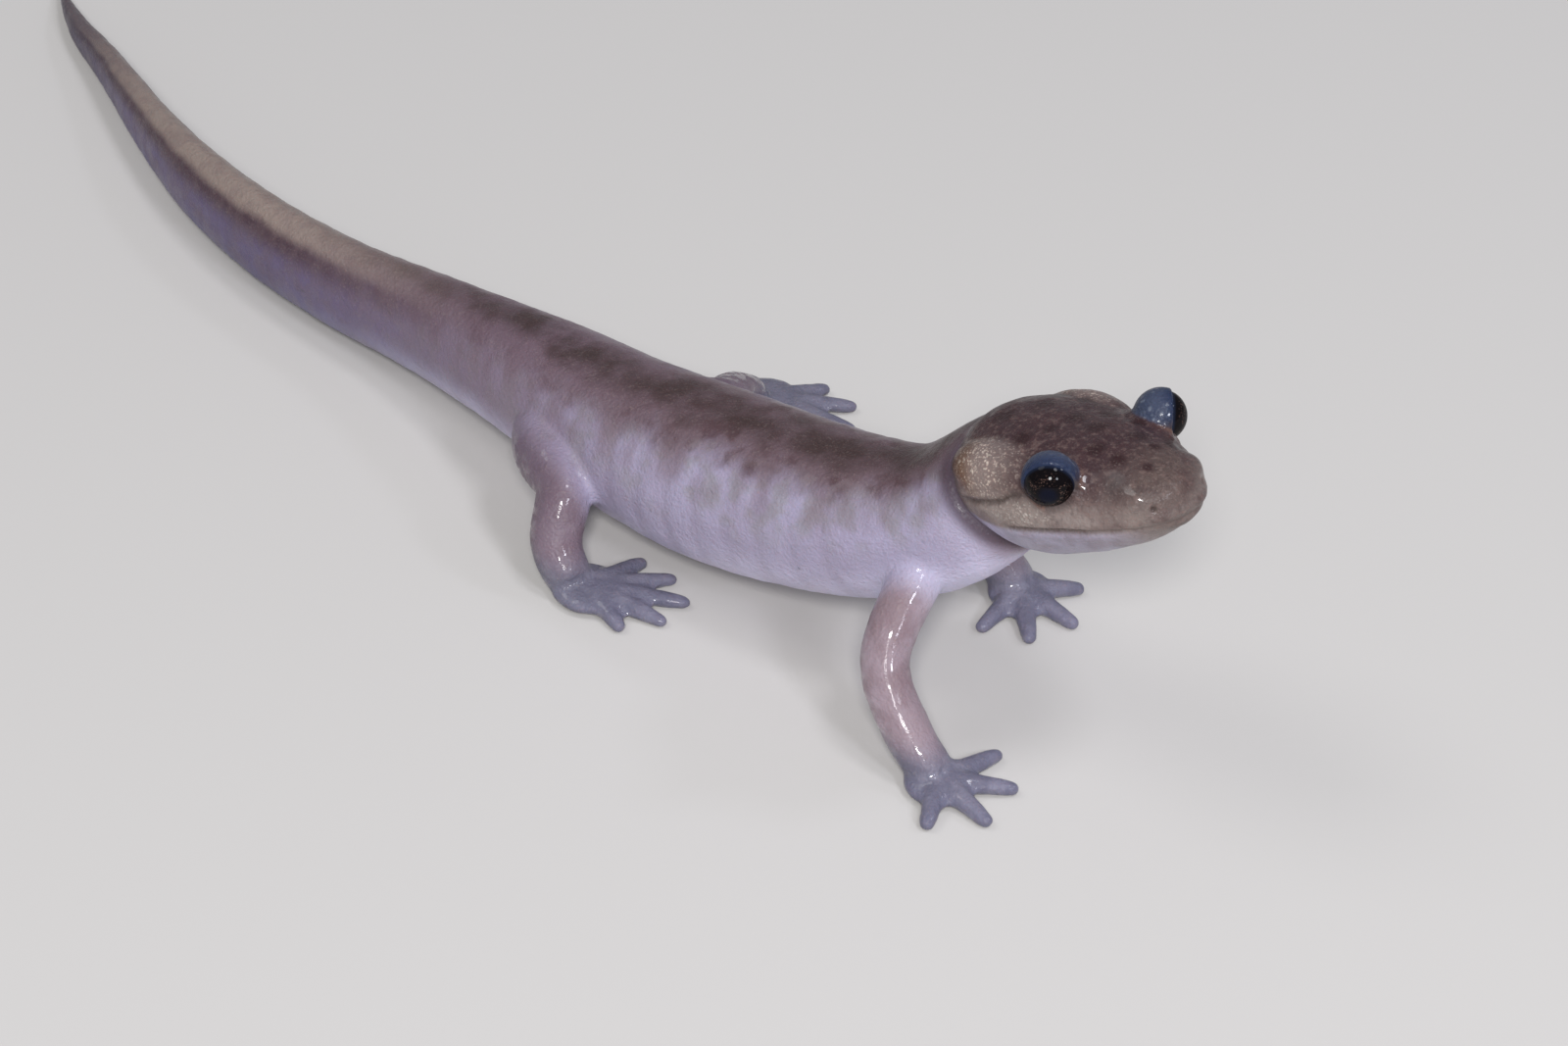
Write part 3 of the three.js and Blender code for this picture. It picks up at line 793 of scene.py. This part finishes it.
# %% Zones of the body
points = points_of(skin)
place, height, across, beyond = read_body(points)
in_head = read_head(points)
hx, hy, hz = in_head.T
near_head = np.abs(hy) < HEAD_REACH
on_head = smooth_step(-0.5, 0.3, hx - fold_line(hz)) * smooth_step(-7.1, -6.5, hz) * near_head
at_neck = smooth_step(-12.4, -11.4, hx) * smooth_step(-7.5, -6.3, hz) * near_head
limb = smooth_step(0.2, 2.0, beyond) * (1 - on_head) * (1 - at_neck)
body_height = 0.5 + 0.5 * np.clip(height, -1, 1)
head_height = smooth_step(-6.0, 1.2, hz)


def attribute(name, values):
    layer = skin.data.attributes.new(name, "FLOAT", "POINT")
    layer.data.foreach_set("value", np.asarray(values, dtype=np.float32))


attribute("run", run_of(place) / 100)
attribute("height", (1 - on_head) * body_height + on_head * head_height)
attribute("side", np.sign(across))
attribute("upward", 0.5 + 0.5 * normals_of(skin)[:, 2])
attribute("head", on_head)
attribute("limb", limb)
attribute("foot", limb * smooth_step(3.3, 1.3, points[:, 2]))
attribute("digit", limb * smooth_step(1.15, 0.6, points[:, 2]))
attribute("tail", 1 - smooth_step(VENT - 3, VENT + 1.2, place))
print("share of the points on the head:", round(float(on_head.mean()), 2))

# %% Zones of the lids
eye_gap = gap_to(EYE_AT, in_head)
side_sign = np.sign(hy)
from_ball = (in_head - side_sign[:, None] * EYE_AT) / np.maximum(eye_gap, 1e-6)[:, None]
facing = (from_ball * GAZE * np.c_[np.ones(len(hy)), side_sign, np.ones(len(hy))]).sum(1)
under_lid = smooth_step(0.3, -0.2, from_ball[:, 2])
attribute("lid", smooth_step(LID_RADIUS + 0.12, LID_RADIUS + 0.02, eye_gap) * on_head)
attribute("lid_rim", smooth_step(RIM - 0.55, RIM + 0.02, facing))
attribute("lid_top", smooth_step(-0.25, 0.3, from_ball[:, 2]))
attribute("eye_rim", on_head * bump_at(eye_gap, LID_RADIUS + 0.1, 0.16) * under_lid)
print("nearest point to an eyeball's middle, mm:", round(float(eye_gap.min()), 2))


# %% Zones of the face
def patch_at(x, z, half_x, half_z):
    """1 on an oval patch on the side of the head, with a soft edge."""
    return np.exp(-((((hx - x) / half_x) ** 2 + ((hz - z) / half_z) ** 2) ** 1.5))


outer = smooth_step(2.6, 3.6, np.abs(hy))
attribute("gland", on_head * outer * patch_at(-5.3, -0.3, 2.3, 1.5))
attribute("cheek", on_head * outer * patch_at(-2.3, -2.15, 2.2, 0.8))
attribute("snout", on_head * smooth_step(1.2, 4.6, hx))
attribute("face_side", on_head * smooth_step(-0.7, -1.9, hz) * smooth_step(5.6, 4.0, hx))
attribute("jaw", on_head * smooth_step(0.06, -0.3, hz - mouth_line(hx)) * smooth_step(5.2, 1.5, hx))
attribute("rear", smooth_step(-5.2, -7.0, hx + 0.5 * hz))
# Painted shade in the hollow in front of the eye.
HOLLOW_SHADE_AT, HOLLOW_SHADE_HALF = (2.95, 2.5, -0.5), (0.6, 0.8, 0.9)
attribute("hollow_shade", on_head * dome(gap_to(HOLLOW_SHADE_AT, in_head, HOLLOW_SHADE_HALF)))
print("points on the side of the head:", int((on_head * outer > 0.5).sum()))

# %% Creases
# Masks for the painted shade in the mouth line, the groove behind the eye and the nostrils.
mouth = bump_at(hz, mouth_line(hx), 0.1) * along_mouth(hx) * (1 - 0.75 * smooth_step(1.0, 3.5, hx))
groove = smooth_step(-8.0, -6.2, hx) * smooth_step(-1.5, -2.6, hx)
groove *= bump_at(hz, groove_height(hx) + 0.08 * lumps(in_head, 0.8, 9.0), 0.2)
nostril = smooth_step(0.24, 0.12, gap_to(NOSTRIL_AT, in_head))
crease_shade = on_head * np.maximum(np.maximum(mouth, groove), nostril)
attribute("crease_shade", crease_shade)
# The dark band behind the head is painted shade in the fold.
fold = near_head * (hz > BELOW_NECK) * (beyond < 3) * bump_at(hx, fold_line(hz) - 0.25, 0.8)
attribute("fold", fold * smooth_step(1.0, -1.5, hz))
# A dusky red painted shade in the strip under the jaw.
throat = smooth_step(-8.6, -6.6, hz) * smooth_step(-8.2, -6.0, hx) * near_head
attribute("throat", throat * (1 - on_head))
# Painted shade in the grooves between the ribs.
attribute("rib_groove_shade", wave_of(place) * np.clip(1 - height**2, 0, 1) * (beyond < 0.4))
print("points in creases:", int((crease_shade > 0.5).sum()))

# %% Dark spots on the crown and wet places on the snout
CROWN_SPOTS = [  # x, y, radius
    (-3.9, -2.5, 0.55), (-2.5, 0.5, 0.6), (-1.5, 1.9, 0.5), (-0.7, 0.2, 0.62), (0.8, -1.4, 0.5),
    (1.6, 1.1, 0.5), (2.3, -1.3, 0.45), (3.9, -0.7, 0.28), (-5.4, 0.9, 0.6), (-6.6, -1.2, 0.6),
    (-4.2, 2.9, 0.5), (-2.9, -1.2, 0.4), (0.4, 2.3, 0.4), (2.9, 0.9, 0.3), (-6.0, 2.6, 0.5),
    (3.1, 2.0, 0.3),
]
spots = np.zeros(len(points))
ragged = 0.25 * lumps(in_head, 0.35, 3.0)
for x, y, radius in CROWN_SPOTS:
    spots = np.maximum(spots, smooth_step(1.5, 0.5, np.hypot(hx - x, hy - y) / radius + ragged))
attribute("spots", spots * on_head * smooth_step(-1.2, -0.3, hz))
WET_PLACES = [(HILL_AT, (1.0, 0.9, 0.6)), ((1.55, 4.0, -0.1), (0.6, 0.9, 0.7))]  # place, half sizes
wet_gap = np.minimum(*[gap_to(at, in_head, half) for at, half in WET_PLACES])
attribute("wet", on_head * smooth_step(1.6, 0.8, wet_gap))
print("attributes:", len([a for a in skin.data.attributes if a.domain == "POINT"]))

# %% [markdown]
# ## The wet skin
# Salamander skin is thin, moist and a little translucent. It could be one painted picture, but a
# picture blurs when it is seen from close by. Here the material is built in layers: colours laid
# over each other by zone, a very fine grain of glands, and a clear coat for the film of water.
# The grain is used by the skin and the eyes alike, so it is a node group.


# %% Helpers for nodes
def material(name):
    made = bpy.data.materials.new(name)
    made.use_nodes = True
    tree = made.node_tree
    return made, tree, tree.nodes["Principled BSDF"]


def colour(code):
    """A colour from its eight-bit code, as linear light."""
    parts = [int(code[k : k + 2], 16) / 255 for k in (0, 2, 4)]
    return (*[c / 12.92 if c <= 0.04045 else ((c + 0.055) / 1.055) ** 2.4 for c in parts], 1)


def plug(tree, value, socket):
    """Links a socket to another one, or sets its value."""
    if isinstance(value, bpy.types.NodeSocket):
        tree.links.new(value, socket)
    else:
        socket.default_value = value


def node(tree, kind, inputs=None, **settings):
    made = tree.nodes.new(kind)
    for key, value in settings.items():
        setattr(made, key, value)
    for key, value in (inputs or {}).items():
        plug(tree, value, made.inputs[key])
    return made


def blend(tree, factor, a, b):
    """Mixes two colours by a factor."""
    mix = node(tree, "ShaderNodeMix", data_type="RGBA")
    for key, value in ((0, factor), (6, a), (7, b)):
        plug(tree, value, mix.inputs[key])
    return mix.outputs[2]


def ramp(tree, value, low, high):
    """0 below low and 1 above high."""
    made = node(tree, "ShaderNodeMapRange", {"Value": value, "From Min": low, "From Max": high})
    made.interpolation_type = "SMOOTHSTEP"
    return made.outputs["Result"]


def layered(tree, under, layers):
    """Lays colours over a first one, each as far as its mask and strength say."""
    for mask, strength, over in layers:
        factor = times(tree, mask, strength) if strength < 1 else mask
        under = blend(tree, factor, under, colour(over) if isinstance(over, str) else over)
    return under


def maths(tree, operation, a, b=0.0):
    """One sum on two values."""
    made = node(tree, "ShaderNodeMath", operation=operation)
    plug(tree, a, made.inputs[0])
    plug(tree, b, made.inputs[1])
    return made.outputs[0]


def times(tree, a, b):
    return maths(tree, "MULTIPLY", a, b)


def zone(tree, name):
    """A number that was written on the points."""
    return node(tree, "ShaderNodeAttribute", attribute_name=name).outputs["Fac"]


# %% The grain of the glands, as a group
def grain_group():
    """Small domes with a rough surface as a height, and light specks on some of them."""
    group = bpy.data.node_groups.new("skin_grain", "ShaderNodeTree")
    for name in ("Scale", "Roughening"):
        group.interface.new_socket(name, in_out="INPUT", socket_type="NodeSocketFloat")
    for name in ("Height", "Speckle"):
        group.interface.new_socket(name, in_out="OUTPUT", socket_type="NodeSocketFloat")
    start = group.nodes.new("NodeGroupInput").outputs
    end = group.nodes.new("NodeGroupOutput").inputs
    where = node(group, "ShaderNodeTexCoord").outputs["Object"]
    cell_inputs = {"Vector": where, "Scale": start["Scale"]}
    fine_inputs = {"Vector": where, "Scale": times(group, start["Scale"], 0.5), "Detail": 3.0}
    cells = node(group, "ShaderNodeTexVoronoi", cell_inputs, feature="SMOOTH_F1")
    fine = node(group, "ShaderNodeTexNoise", fine_inputs).outputs["Fac"]
    domes = maths(group, "SUBTRACT", 1.0, cells.outputs["Distance"])
    height = maths(group, "ADD", domes, times(group, fine, start["Roughening"]))
    speckle = times(group, ramp(group, domes, 0.58, 0.86), ramp(group, fine, 0.42, 0.62))
    group.links.new(height, end["Height"])
    group.links.new(speckle, end["Speckle"])
    return group


GRAIN = grain_group()


def grain(tree, scale, roughening):
    made = tree.nodes.new("ShaderNodeGroup")
    made.node_tree = GRAIN
    made.inputs["Scale"].default_value = scale
    made.inputs["Roughening"].default_value = roughening
    return made


# %% Random patches for the skin
skin_material, tree, shader = material("wet_skin")
where = node(tree, "ShaderNodeTexCoord").outputs["Object"]
height_zone, run_zone = zone(tree, "height"), zone(tree, "run")


def noise_value(scale, detail, vector=None):
    inputs = {"Vector": vector or where, "Scale": scale, "Detail": detail}
    return node(tree, "ShaderNodeTexNoise", inputs).outputs["Fac"]


def patches(scale, low, high, detail=3.0, vector=None):
    """Soft patches, 0 where the noise is below low and 1 above high."""
    return ramp(tree, noise_value(scale, detail, vector), low, high)


def stray(value, random_value, reach):
    """Moves a value up or down at random, by half the reach at most."""
    return maths(tree, "ADD", value, times(tree, maths(tree, "SUBTRACT", random_value, 0.5), reach))


wander = noise_value(420.0, 4.0)
steady = stray(height_zone, wander, 0.08)
strayed = stray(stray(height_zone, wander, 0.13), noise_value(130.0, 2.0), 0.08)

# %% [markdown]
# ## Colours of the trunk
# The back is brown with darker blotches, the flanks are lilac with faint upright streaks, and the
# belly is pale. The borders between them are ragged on the animal, so the height on the body is
# shaken a little with noise before a colour is chosen by it.


# %% Colour the trunk
def at_height(low, high):
    """0 below a height on the body and 1 above it; the other way round if low is the larger."""
    return ramp(tree, strayed, low, high)


STREAKS_ALONG, STREAKS_UP, STREAKS_APART = 44.0, 2.6, 5.0
round_body = {
    "X": times(tree, run_zone, STREAKS_ALONG),
    "Y": times(tree, height_zone, STREAKS_UP),
    "Z": times(tree, zone(tree, "side"), STREAKS_APART),
}
streaks = patches(1.0, 0.36, 0.66, 1.0, node(tree, "ShaderNodeCombineXYZ", round_body).outputs[0])
dapple = times(tree, patches(700.0, 0.4, 0.66, 2.0), at_height(0.4, 0.75))
bars = times(tree, streaks, at_height(0.6, 0.84))
pale_neck = times(tree, ramp(tree, run_zone, 1.0, 1.05), at_height(0.82, 0.5))
blotches = times(tree, patches(560.0, 0.5, 0.68, 2.0), at_height(0.8, 0.92))
dusky_hips = times(tree, ramp(tree, run_zone, 0.84, 0.66), at_height(0.3, 0.6))
belly_to_flank = blend(tree, at_height(0.12, 0.5), colour("cec9e2"), colour("a199b1"))
body_layers = [
    (streaks, 0.3, "968ba0"),
    (dapple, 0.6, "8a8789"),
    (bars, 0.75, "796971"),
    (at_height(0.79, 0.97), 1, "665359"),  # the brown back
    (pale_neck, 0.6, "cfc7e0"),
    (blotches, 0.65, "4a3336"),
    # painted shade in the grooves between the ribs
    (zone(tree, "rib_groove_shade"), 0.12, "75626f"),
    # dusky red painted shade under the jaw
    (zone(tree, "throat"), 0.75, "6a4c55"),
    (dusky_hips, 0.7, "705c68"),
    (at_height(0.945, 1.02), 1, "40302f"),  # a dark line on the middle of the back
]
body_colour = layered(tree, belly_to_flank, body_layers)
print("layers on the trunk:", len(body_layers))

# %% [markdown]
# ## Colours of the tail
# The tail is dusky violet below, brown above, and along its upper edge runs a paler, sandy ridge
# of glands. Towards the tip it darkens with painted shade. The same two numbers, height and
# distance along the spine, place these bands.

# %% Colour the tail
tail = zone(tree, "tail")
tail_layers = [
    (patches(500.0, 0.42, 0.62), 0.3, "5d5064"),
    (ramp(tree, steady, 0.62, 0.84), 1, "4b3941"),  # the brown upper half
    (times(tree, ramp(tree, steady, 0.84, 0.93), tail), 1, "8c7d75"),  # the ridge
    (patches(900.0, 0.45, 0.6), 0.25, "6b5a5c"),
    # painted shade darkening the tail towards its tip
    (ramp(tree, run_zone, 0.26, 0.04), 0.8, "423a46"),  # the tip
]
tail_base = blend(tree, ramp(tree, steady, 0.1, 0.6), colour("666084"), colour("645977"))
skin_colour = blend(tree, tail, body_colour, layered(tree, tail_base, tail_layers))
print("layers on the tail:", len(tail_layers))

# %% [markdown]
# ## Colours of the head
# The crown is dark brown with darker spots and a dust of paler and darker grains, the snout is
# plainer, and the lower jaw is lilac grey. The grains are noise of a much smaller size than the
# blotches of the back, which tells the eye how small the animal is.

# %% Colour the head
head_layers = [
    (at_height(0.74, 0.94), 1, "3e2b2e"),  # the middle of the crown
    (zone(tree, "snout"), 0.75, "5b4d48"),
    (zone(tree, "face_side"), 0.55, "8f827c"),
    (patches(520.0, 0.45, 0.62), 0.35, "4a3334"),
    (patches(2600.0, 0.5, 0.68, 2.0), 0.35, "7a655f"),
    (patches(2100.0, 0.5, 0.7, 2.0), 0.3, "3a292b"),
    # painted shade in the hollow in front of the eye
    (zone(tree, "hollow_shade"), 0.6, "4b4443"),
    (zone(tree, "spots"), 0.85, "2e1a1c"),
]
face_to_crown = blend(tree, at_height(0.5, 0.8), colour("8f827f"), colour("4f3d3d"))
jaw_colour = blend(tree, patches(600.0, 0.4, 0.65), colour("9d97a8"), colour("8c838f"))
jaw_colour = layered(tree, jaw_colour, [(zone(tree, "rear"), 0.8, "aca5bf")])
head_colour = layered(tree, face_to_crown, [*head_layers, (zone(tree, "jaw"), 1, jaw_colour)])
skin_colour = blend(tree, zone(tree, "head"), skin_colour, head_colour)
print("layers on the head:", len(head_layers) + 1)

# %% [markdown]
# ## Colours of the limbs
# Arms and legs are pinkish where they leave the body and turn blue-grey on hands and feet, where
# the skin is thin. Legs and feet get painted shade, as the light falls off towards the rear. The
# zones run into each other softly, so no line shows at a wrist or an ankle.

# %% Colour the limbs
# Painted shade on the legs and feet, as the light falls off towards the rear.
hind_shade = ramp(tree, run_zone, 0.86, 0.72)
on_top = ramp(tree, zone(tree, "upward"), 0.55, 0.9)
limb_colour = blend(tree, patches(420.0, 0.4, 0.6), colour("a1919b"), colour("8c7a82"))
limb_colour = layered(tree, limb_colour, [(on_top, 0.45, "7d686c"), (hind_shade, 0.85, "594959")])
foot_colour = blend(tree, patches(700.0, 0.4, 0.6), colour("797686"), colour("676576"))
foot_layers = [(zone(tree, "digit"), 0.4, "6e6d84"), (hind_shade, 0.6, "5e5c6a")]
foot_colour = layered(tree, foot_colour, foot_layers)
limb_layers = [(zone(tree, "limb"), 1, limb_colour), (zone(tree, "foot"), 1, foot_colour)]
skin_colour = layered(tree, skin_colour, limb_layers)
print("zones of the limbs:", len(limb_layers))

# %% [markdown]
# ## Gold flecks, lids and creases
# The swollen glands and the cheeks are sprinkled with pale gold, the lids are slate blue with a
# dark rim, and the mouth line, the nostrils and the folds are darkened with painted shade.
# The specks could be a texture of their own, but they come from the grain that also makes the
# relief, so that they sit on its domes.

# %% Colour the flecks, lids and creases
fine_grain = grain(tree, 7000.0, 0.7)
coarse_grain = grain(tree, 3300.0, 0.8)
fine_specks = fine_grain.outputs["Speckle"]
flecks = maths(tree, "MAXIMUM", fine_specks, grain(tree, 5200.0, 0.4).outputs["Speckle"])
gland, cheek = zone(tree, "gland"), zone(tree, "cheek")
gland_brown = blend(tree, zone(tree, "rear"), colour("95857f"), colour("7d5e46"))
lid_specks = times(tree, coarse_grain.outputs["Speckle"], 0.6)
lid_colour = blend(tree, lid_specks, colour("3b4257"), colour("787f8c"))
lid_colour = blend(tree, zone(tree, "lid_rim"), lid_colour, colour("202b46"))
lid_colour = blend(tree, zone(tree, "lid_top"), colour("3a2d2c"), lid_colour)
fine_layers = [
    (fine_specks, 0.2, "97877f"),
    (gland, 0.75, gland_brown),
    (times(tree, gland, flecks), 0.85, "d2c2b4"),
    (cheek, 0.5, "8d817a"),
    (times(tree, cheek, flecks), 0.6, "cbc2ba"),
    (zone(tree, "eye_rim"), 0.75, "6a4a3c"),
    (zone(tree, "lid"), 1, lid_colour),
    # painted shade in the fold behind the head
    (zone(tree, "fold"), 0.85, "43333d"),
    # painted shade in the mouth line, the groove behind the eye and the nostrils
    (zone(tree, "crease_shade"), 0.7, "33221f"),
]
tree.links.new(layered(tree, skin_colour, fine_layers), shader.inputs["Base Color"])
print("fine layers:", len(fine_layers))

# %% [markdown]
# ## Relief and the film of water
# The grain stands up by only hundredths of a millimetre, too little for the mesh, so it is a
# bump. The film of water lies thick on the limbs, the snout and in front of the eyes and thin
# elsewhere. A clear coat with a changing weight gives just that, and keeps its highlights small.

# %% Relief and wetness
relief = maths(tree, "ADD", fine_grain.outputs["Height"], times(tree, coarse_grain.outputs["Height"], 0.9))
bump = node(tree, "ShaderNodeBump", {"Height": relief, "Strength": 0.7, "Distance": 0.06 * MM})
tree.links.new(bump.outputs["Normal"], shader.inputs["Normal"])
water_on_limbs = times(tree, zone(tree, "limb"), times(tree, patches(1300.0, 0.5, 0.56, 1.0), 0.9))
wet = maths(tree, "ADD", 0.06, times(tree, patches(700.0, 0.46, 0.56, 2.0), 0.18))
for wetter in (water_on_limbs, zone(tree, "wet")):
    wet = maths(tree, "MAXIMUM", wet, wetter)
tree.links.new(wet, shader.inputs["Coat Weight"])
SKIN_SETTINGS = {
    "Roughness": 0.45,
    "Specular IOR Level": 0.22,
    "Coat Roughness": 0.06,
    "Coat IOR": 1.42,
    "Subsurface Weight": 0.2,
    "Subsurface Radius": (1.0, 0.5, 0.45),
    "Subsurface Scale": 0.6 * MM,
}
for name, value in SKIN_SETTINGS.items():
    shader.inputs[name].default_value = value
skin.data.materials.clear()
skin.data.materials.append(skin_material)
print("skin nodes:", len(tree.nodes))

# %% [markdown]
# ## The eyes
# The eyes are almost black, with a sprinkle of gold in the iris and a clear wet front. Each
# one is a fine sphere turned so that its pole looks along the gaze, which gives the material
# a simple coordinate: how far a point is from the middle of the pupil.

# %% Model the eyeballs
eyes = []
for side, sign in (("left", 1), ("right", -1)):
    deselect_all()
    bpy.ops.mesh.primitive_uv_sphere_add(segments=96, ring_count=64, radius=EYE_RADIUS)
    eye = bpy.context.object
    eye.name = "eyeball_" + side
    gaze = (head_turn.to_3x3() @ Vector(GAZE * (1, sign, 1))).normalized()
    pole = Vector((0, 0, 1)).rotation_difference(gaze).to_matrix().to_4x4()
    from_pole = [math.acos(max(-1, min(1, vert.co.z / EYE_RADIUS))) for vert in eye.data.vertices]
    eye.data.attributes.new("from_pupil", "FLOAT", "POINT").data.foreach_set("value", from_pole)
    eye.data.transform(Matrix.Translation(eye_centres[side]) @ pole)
    bpy.ops.object.shade_smooth()
    eyes.append(eye)
print("eyes:", [eye.name for eye in eyes])

# %% Colour the eyeballs
eye_material, tree, shader = material("dark_eye")
from_pupil = zone(tree, "from_pupil")
past_iris = ramp(tree, from_pupil, 0.75, 1.1)
iris = times(tree, ramp(tree, from_pupil, 0.38, 0.5), maths(tree, "SUBTRACT", 1.0, past_iris))
gold = times(tree, iris, grain(tree, 9000.0, 1.0).outputs["Speckle"])
# The pupil is black with a navy tint, which is a painted reflection.
pupil_to_iris = blend(tree, ramp(tree, from_pupil, 0.2, 0.5), colour("090c1c"), colour("0c090b"))
eye_layers = [(gold, 0.4, "8a6c60"), (ramp(tree, from_pupil, 1.08, 1.28), 1, "1d2436")]
tree.links.new(layered(tree, pupil_to_iris, eye_layers), shader.inputs["Base Color"])
EYE_SETTINGS = {
    "Roughness": 0.5,
    "Specular IOR Level": 0.0,
    "Coat Weight": 0.4,
    "Coat Roughness": 0.02,
    "Coat IOR": 1.35,
}
for name, value in EYE_SETTINGS.items():
    shader.inputs[name].default_value = value
for eye in eyes:
    eye.data.materials.clear()
    eye.data.materials.append(eye_material)
print("materials:", skin_material.name, "and", eye_material.name)

# %% [markdown]
# ## Joining the frame
# The skin stands for all the solids of flesh, and each eyeball for its own. All of them ride
# on the one body of the frame.

# %% Replace the solids
flesh = [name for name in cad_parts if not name.startswith("eye_")]
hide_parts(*flesh)
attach(skin, "root")
for eye, side in zip(eyes, ("left", "right")):
    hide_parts("eye_" + side)
    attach(eye, "root")
print("solids replaced by the skin:", len(flesh))

# %% [markdown]
# ## Light and floor
# A plain pale floor and soft lamps show the form. Four small lamps stand in two pairs, one pair in
# front and one high up, so that the wet skin and the eyes show small twin highlights. A large,
# weak lamp on the far side and an even world light fill the shade. Larger lamps in front would
# be softer, but their reflections would cover half of the wet head.

# %% Floor
FLOOR_SIZE = 12  # metres
deselect_all()
bpy.ops.mesh.primitive_plane_add(size=FLOOR_SIZE)
floor = bpy.context.object
floor.name = "floor"
floor_material, tree, shader = material("pale_floor")
shader.inputs["Base Color"].default_value = colour("c9c6c2")
shader.inputs["Roughness"].default_value = 0.9
shader.inputs["Specular IOR Level"].default_value = 0.2
floor.data.materials.append(floor_material)
print("floor, m:", FLOOR_SIZE)


# %% Lamps
AIM = 0.6  # the lamps look at a point this share of the way from the origin to the eyes


def lamp(name, azimuth, elevation, distance, size, power, tint):
    """A round lamp that looks at the animal from an azimuth and elevation in degrees."""
    a, e = math.radians(azimuth), math.radians(elevation)
    away = Vector((math.sin(a) * math.cos(e), -math.cos(a) * math.cos(e), math.sin(e)))
    data = bpy.data.lights.new(name, "AREA")
    data.shape = "DISK"
    data.size = size
    data.energy = power
    data.color = colour(tint)[:3]
    made = bpy.data.objects.new(name, data)
    made.location = head_at * AIM + away * distance
    made.rotation_euler = away.to_track_quat("Z", "Y").to_euler()
    bpy.context.collection.objects.link(made)


LAMPS = [  # name, azimuth, elevation, distance, size, power, tint
    ("front_lamp", 46, 41, 0.6, 0.13, 2.5, "ffffff"),
    ("second_front_lamp", 82, 35, 0.6, 0.1, 0.8, "f0f3ff"),
    ("top_lamp", 115, 68, 0.7, 0.16, 0.9, "f6f7ff"),
    ("second_top_lamp", 142, 45, 0.7, 0.09, 0.4, "e8eeff"),
    ("side_lamp", -60, 55, 0.9, 0.4, 1.0, "ffffff"),
]
for row in LAMPS:
    lamp(*row)
print("lamps:", len(LAMPS))

# %% World light
world = bpy.data.worlds.new("studio")
bpy.context.scene.world = world
world.use_nodes = True
sky = world.node_tree.nodes["Background"].inputs
sky["Color"].default_value = colour("e2e5ee")
sky["Strength"].default_value = 0.33
bpy.context.scene.view_settings.view_transform = "Standard"
print("world light:", round(sky["Strength"].default_value, 2))
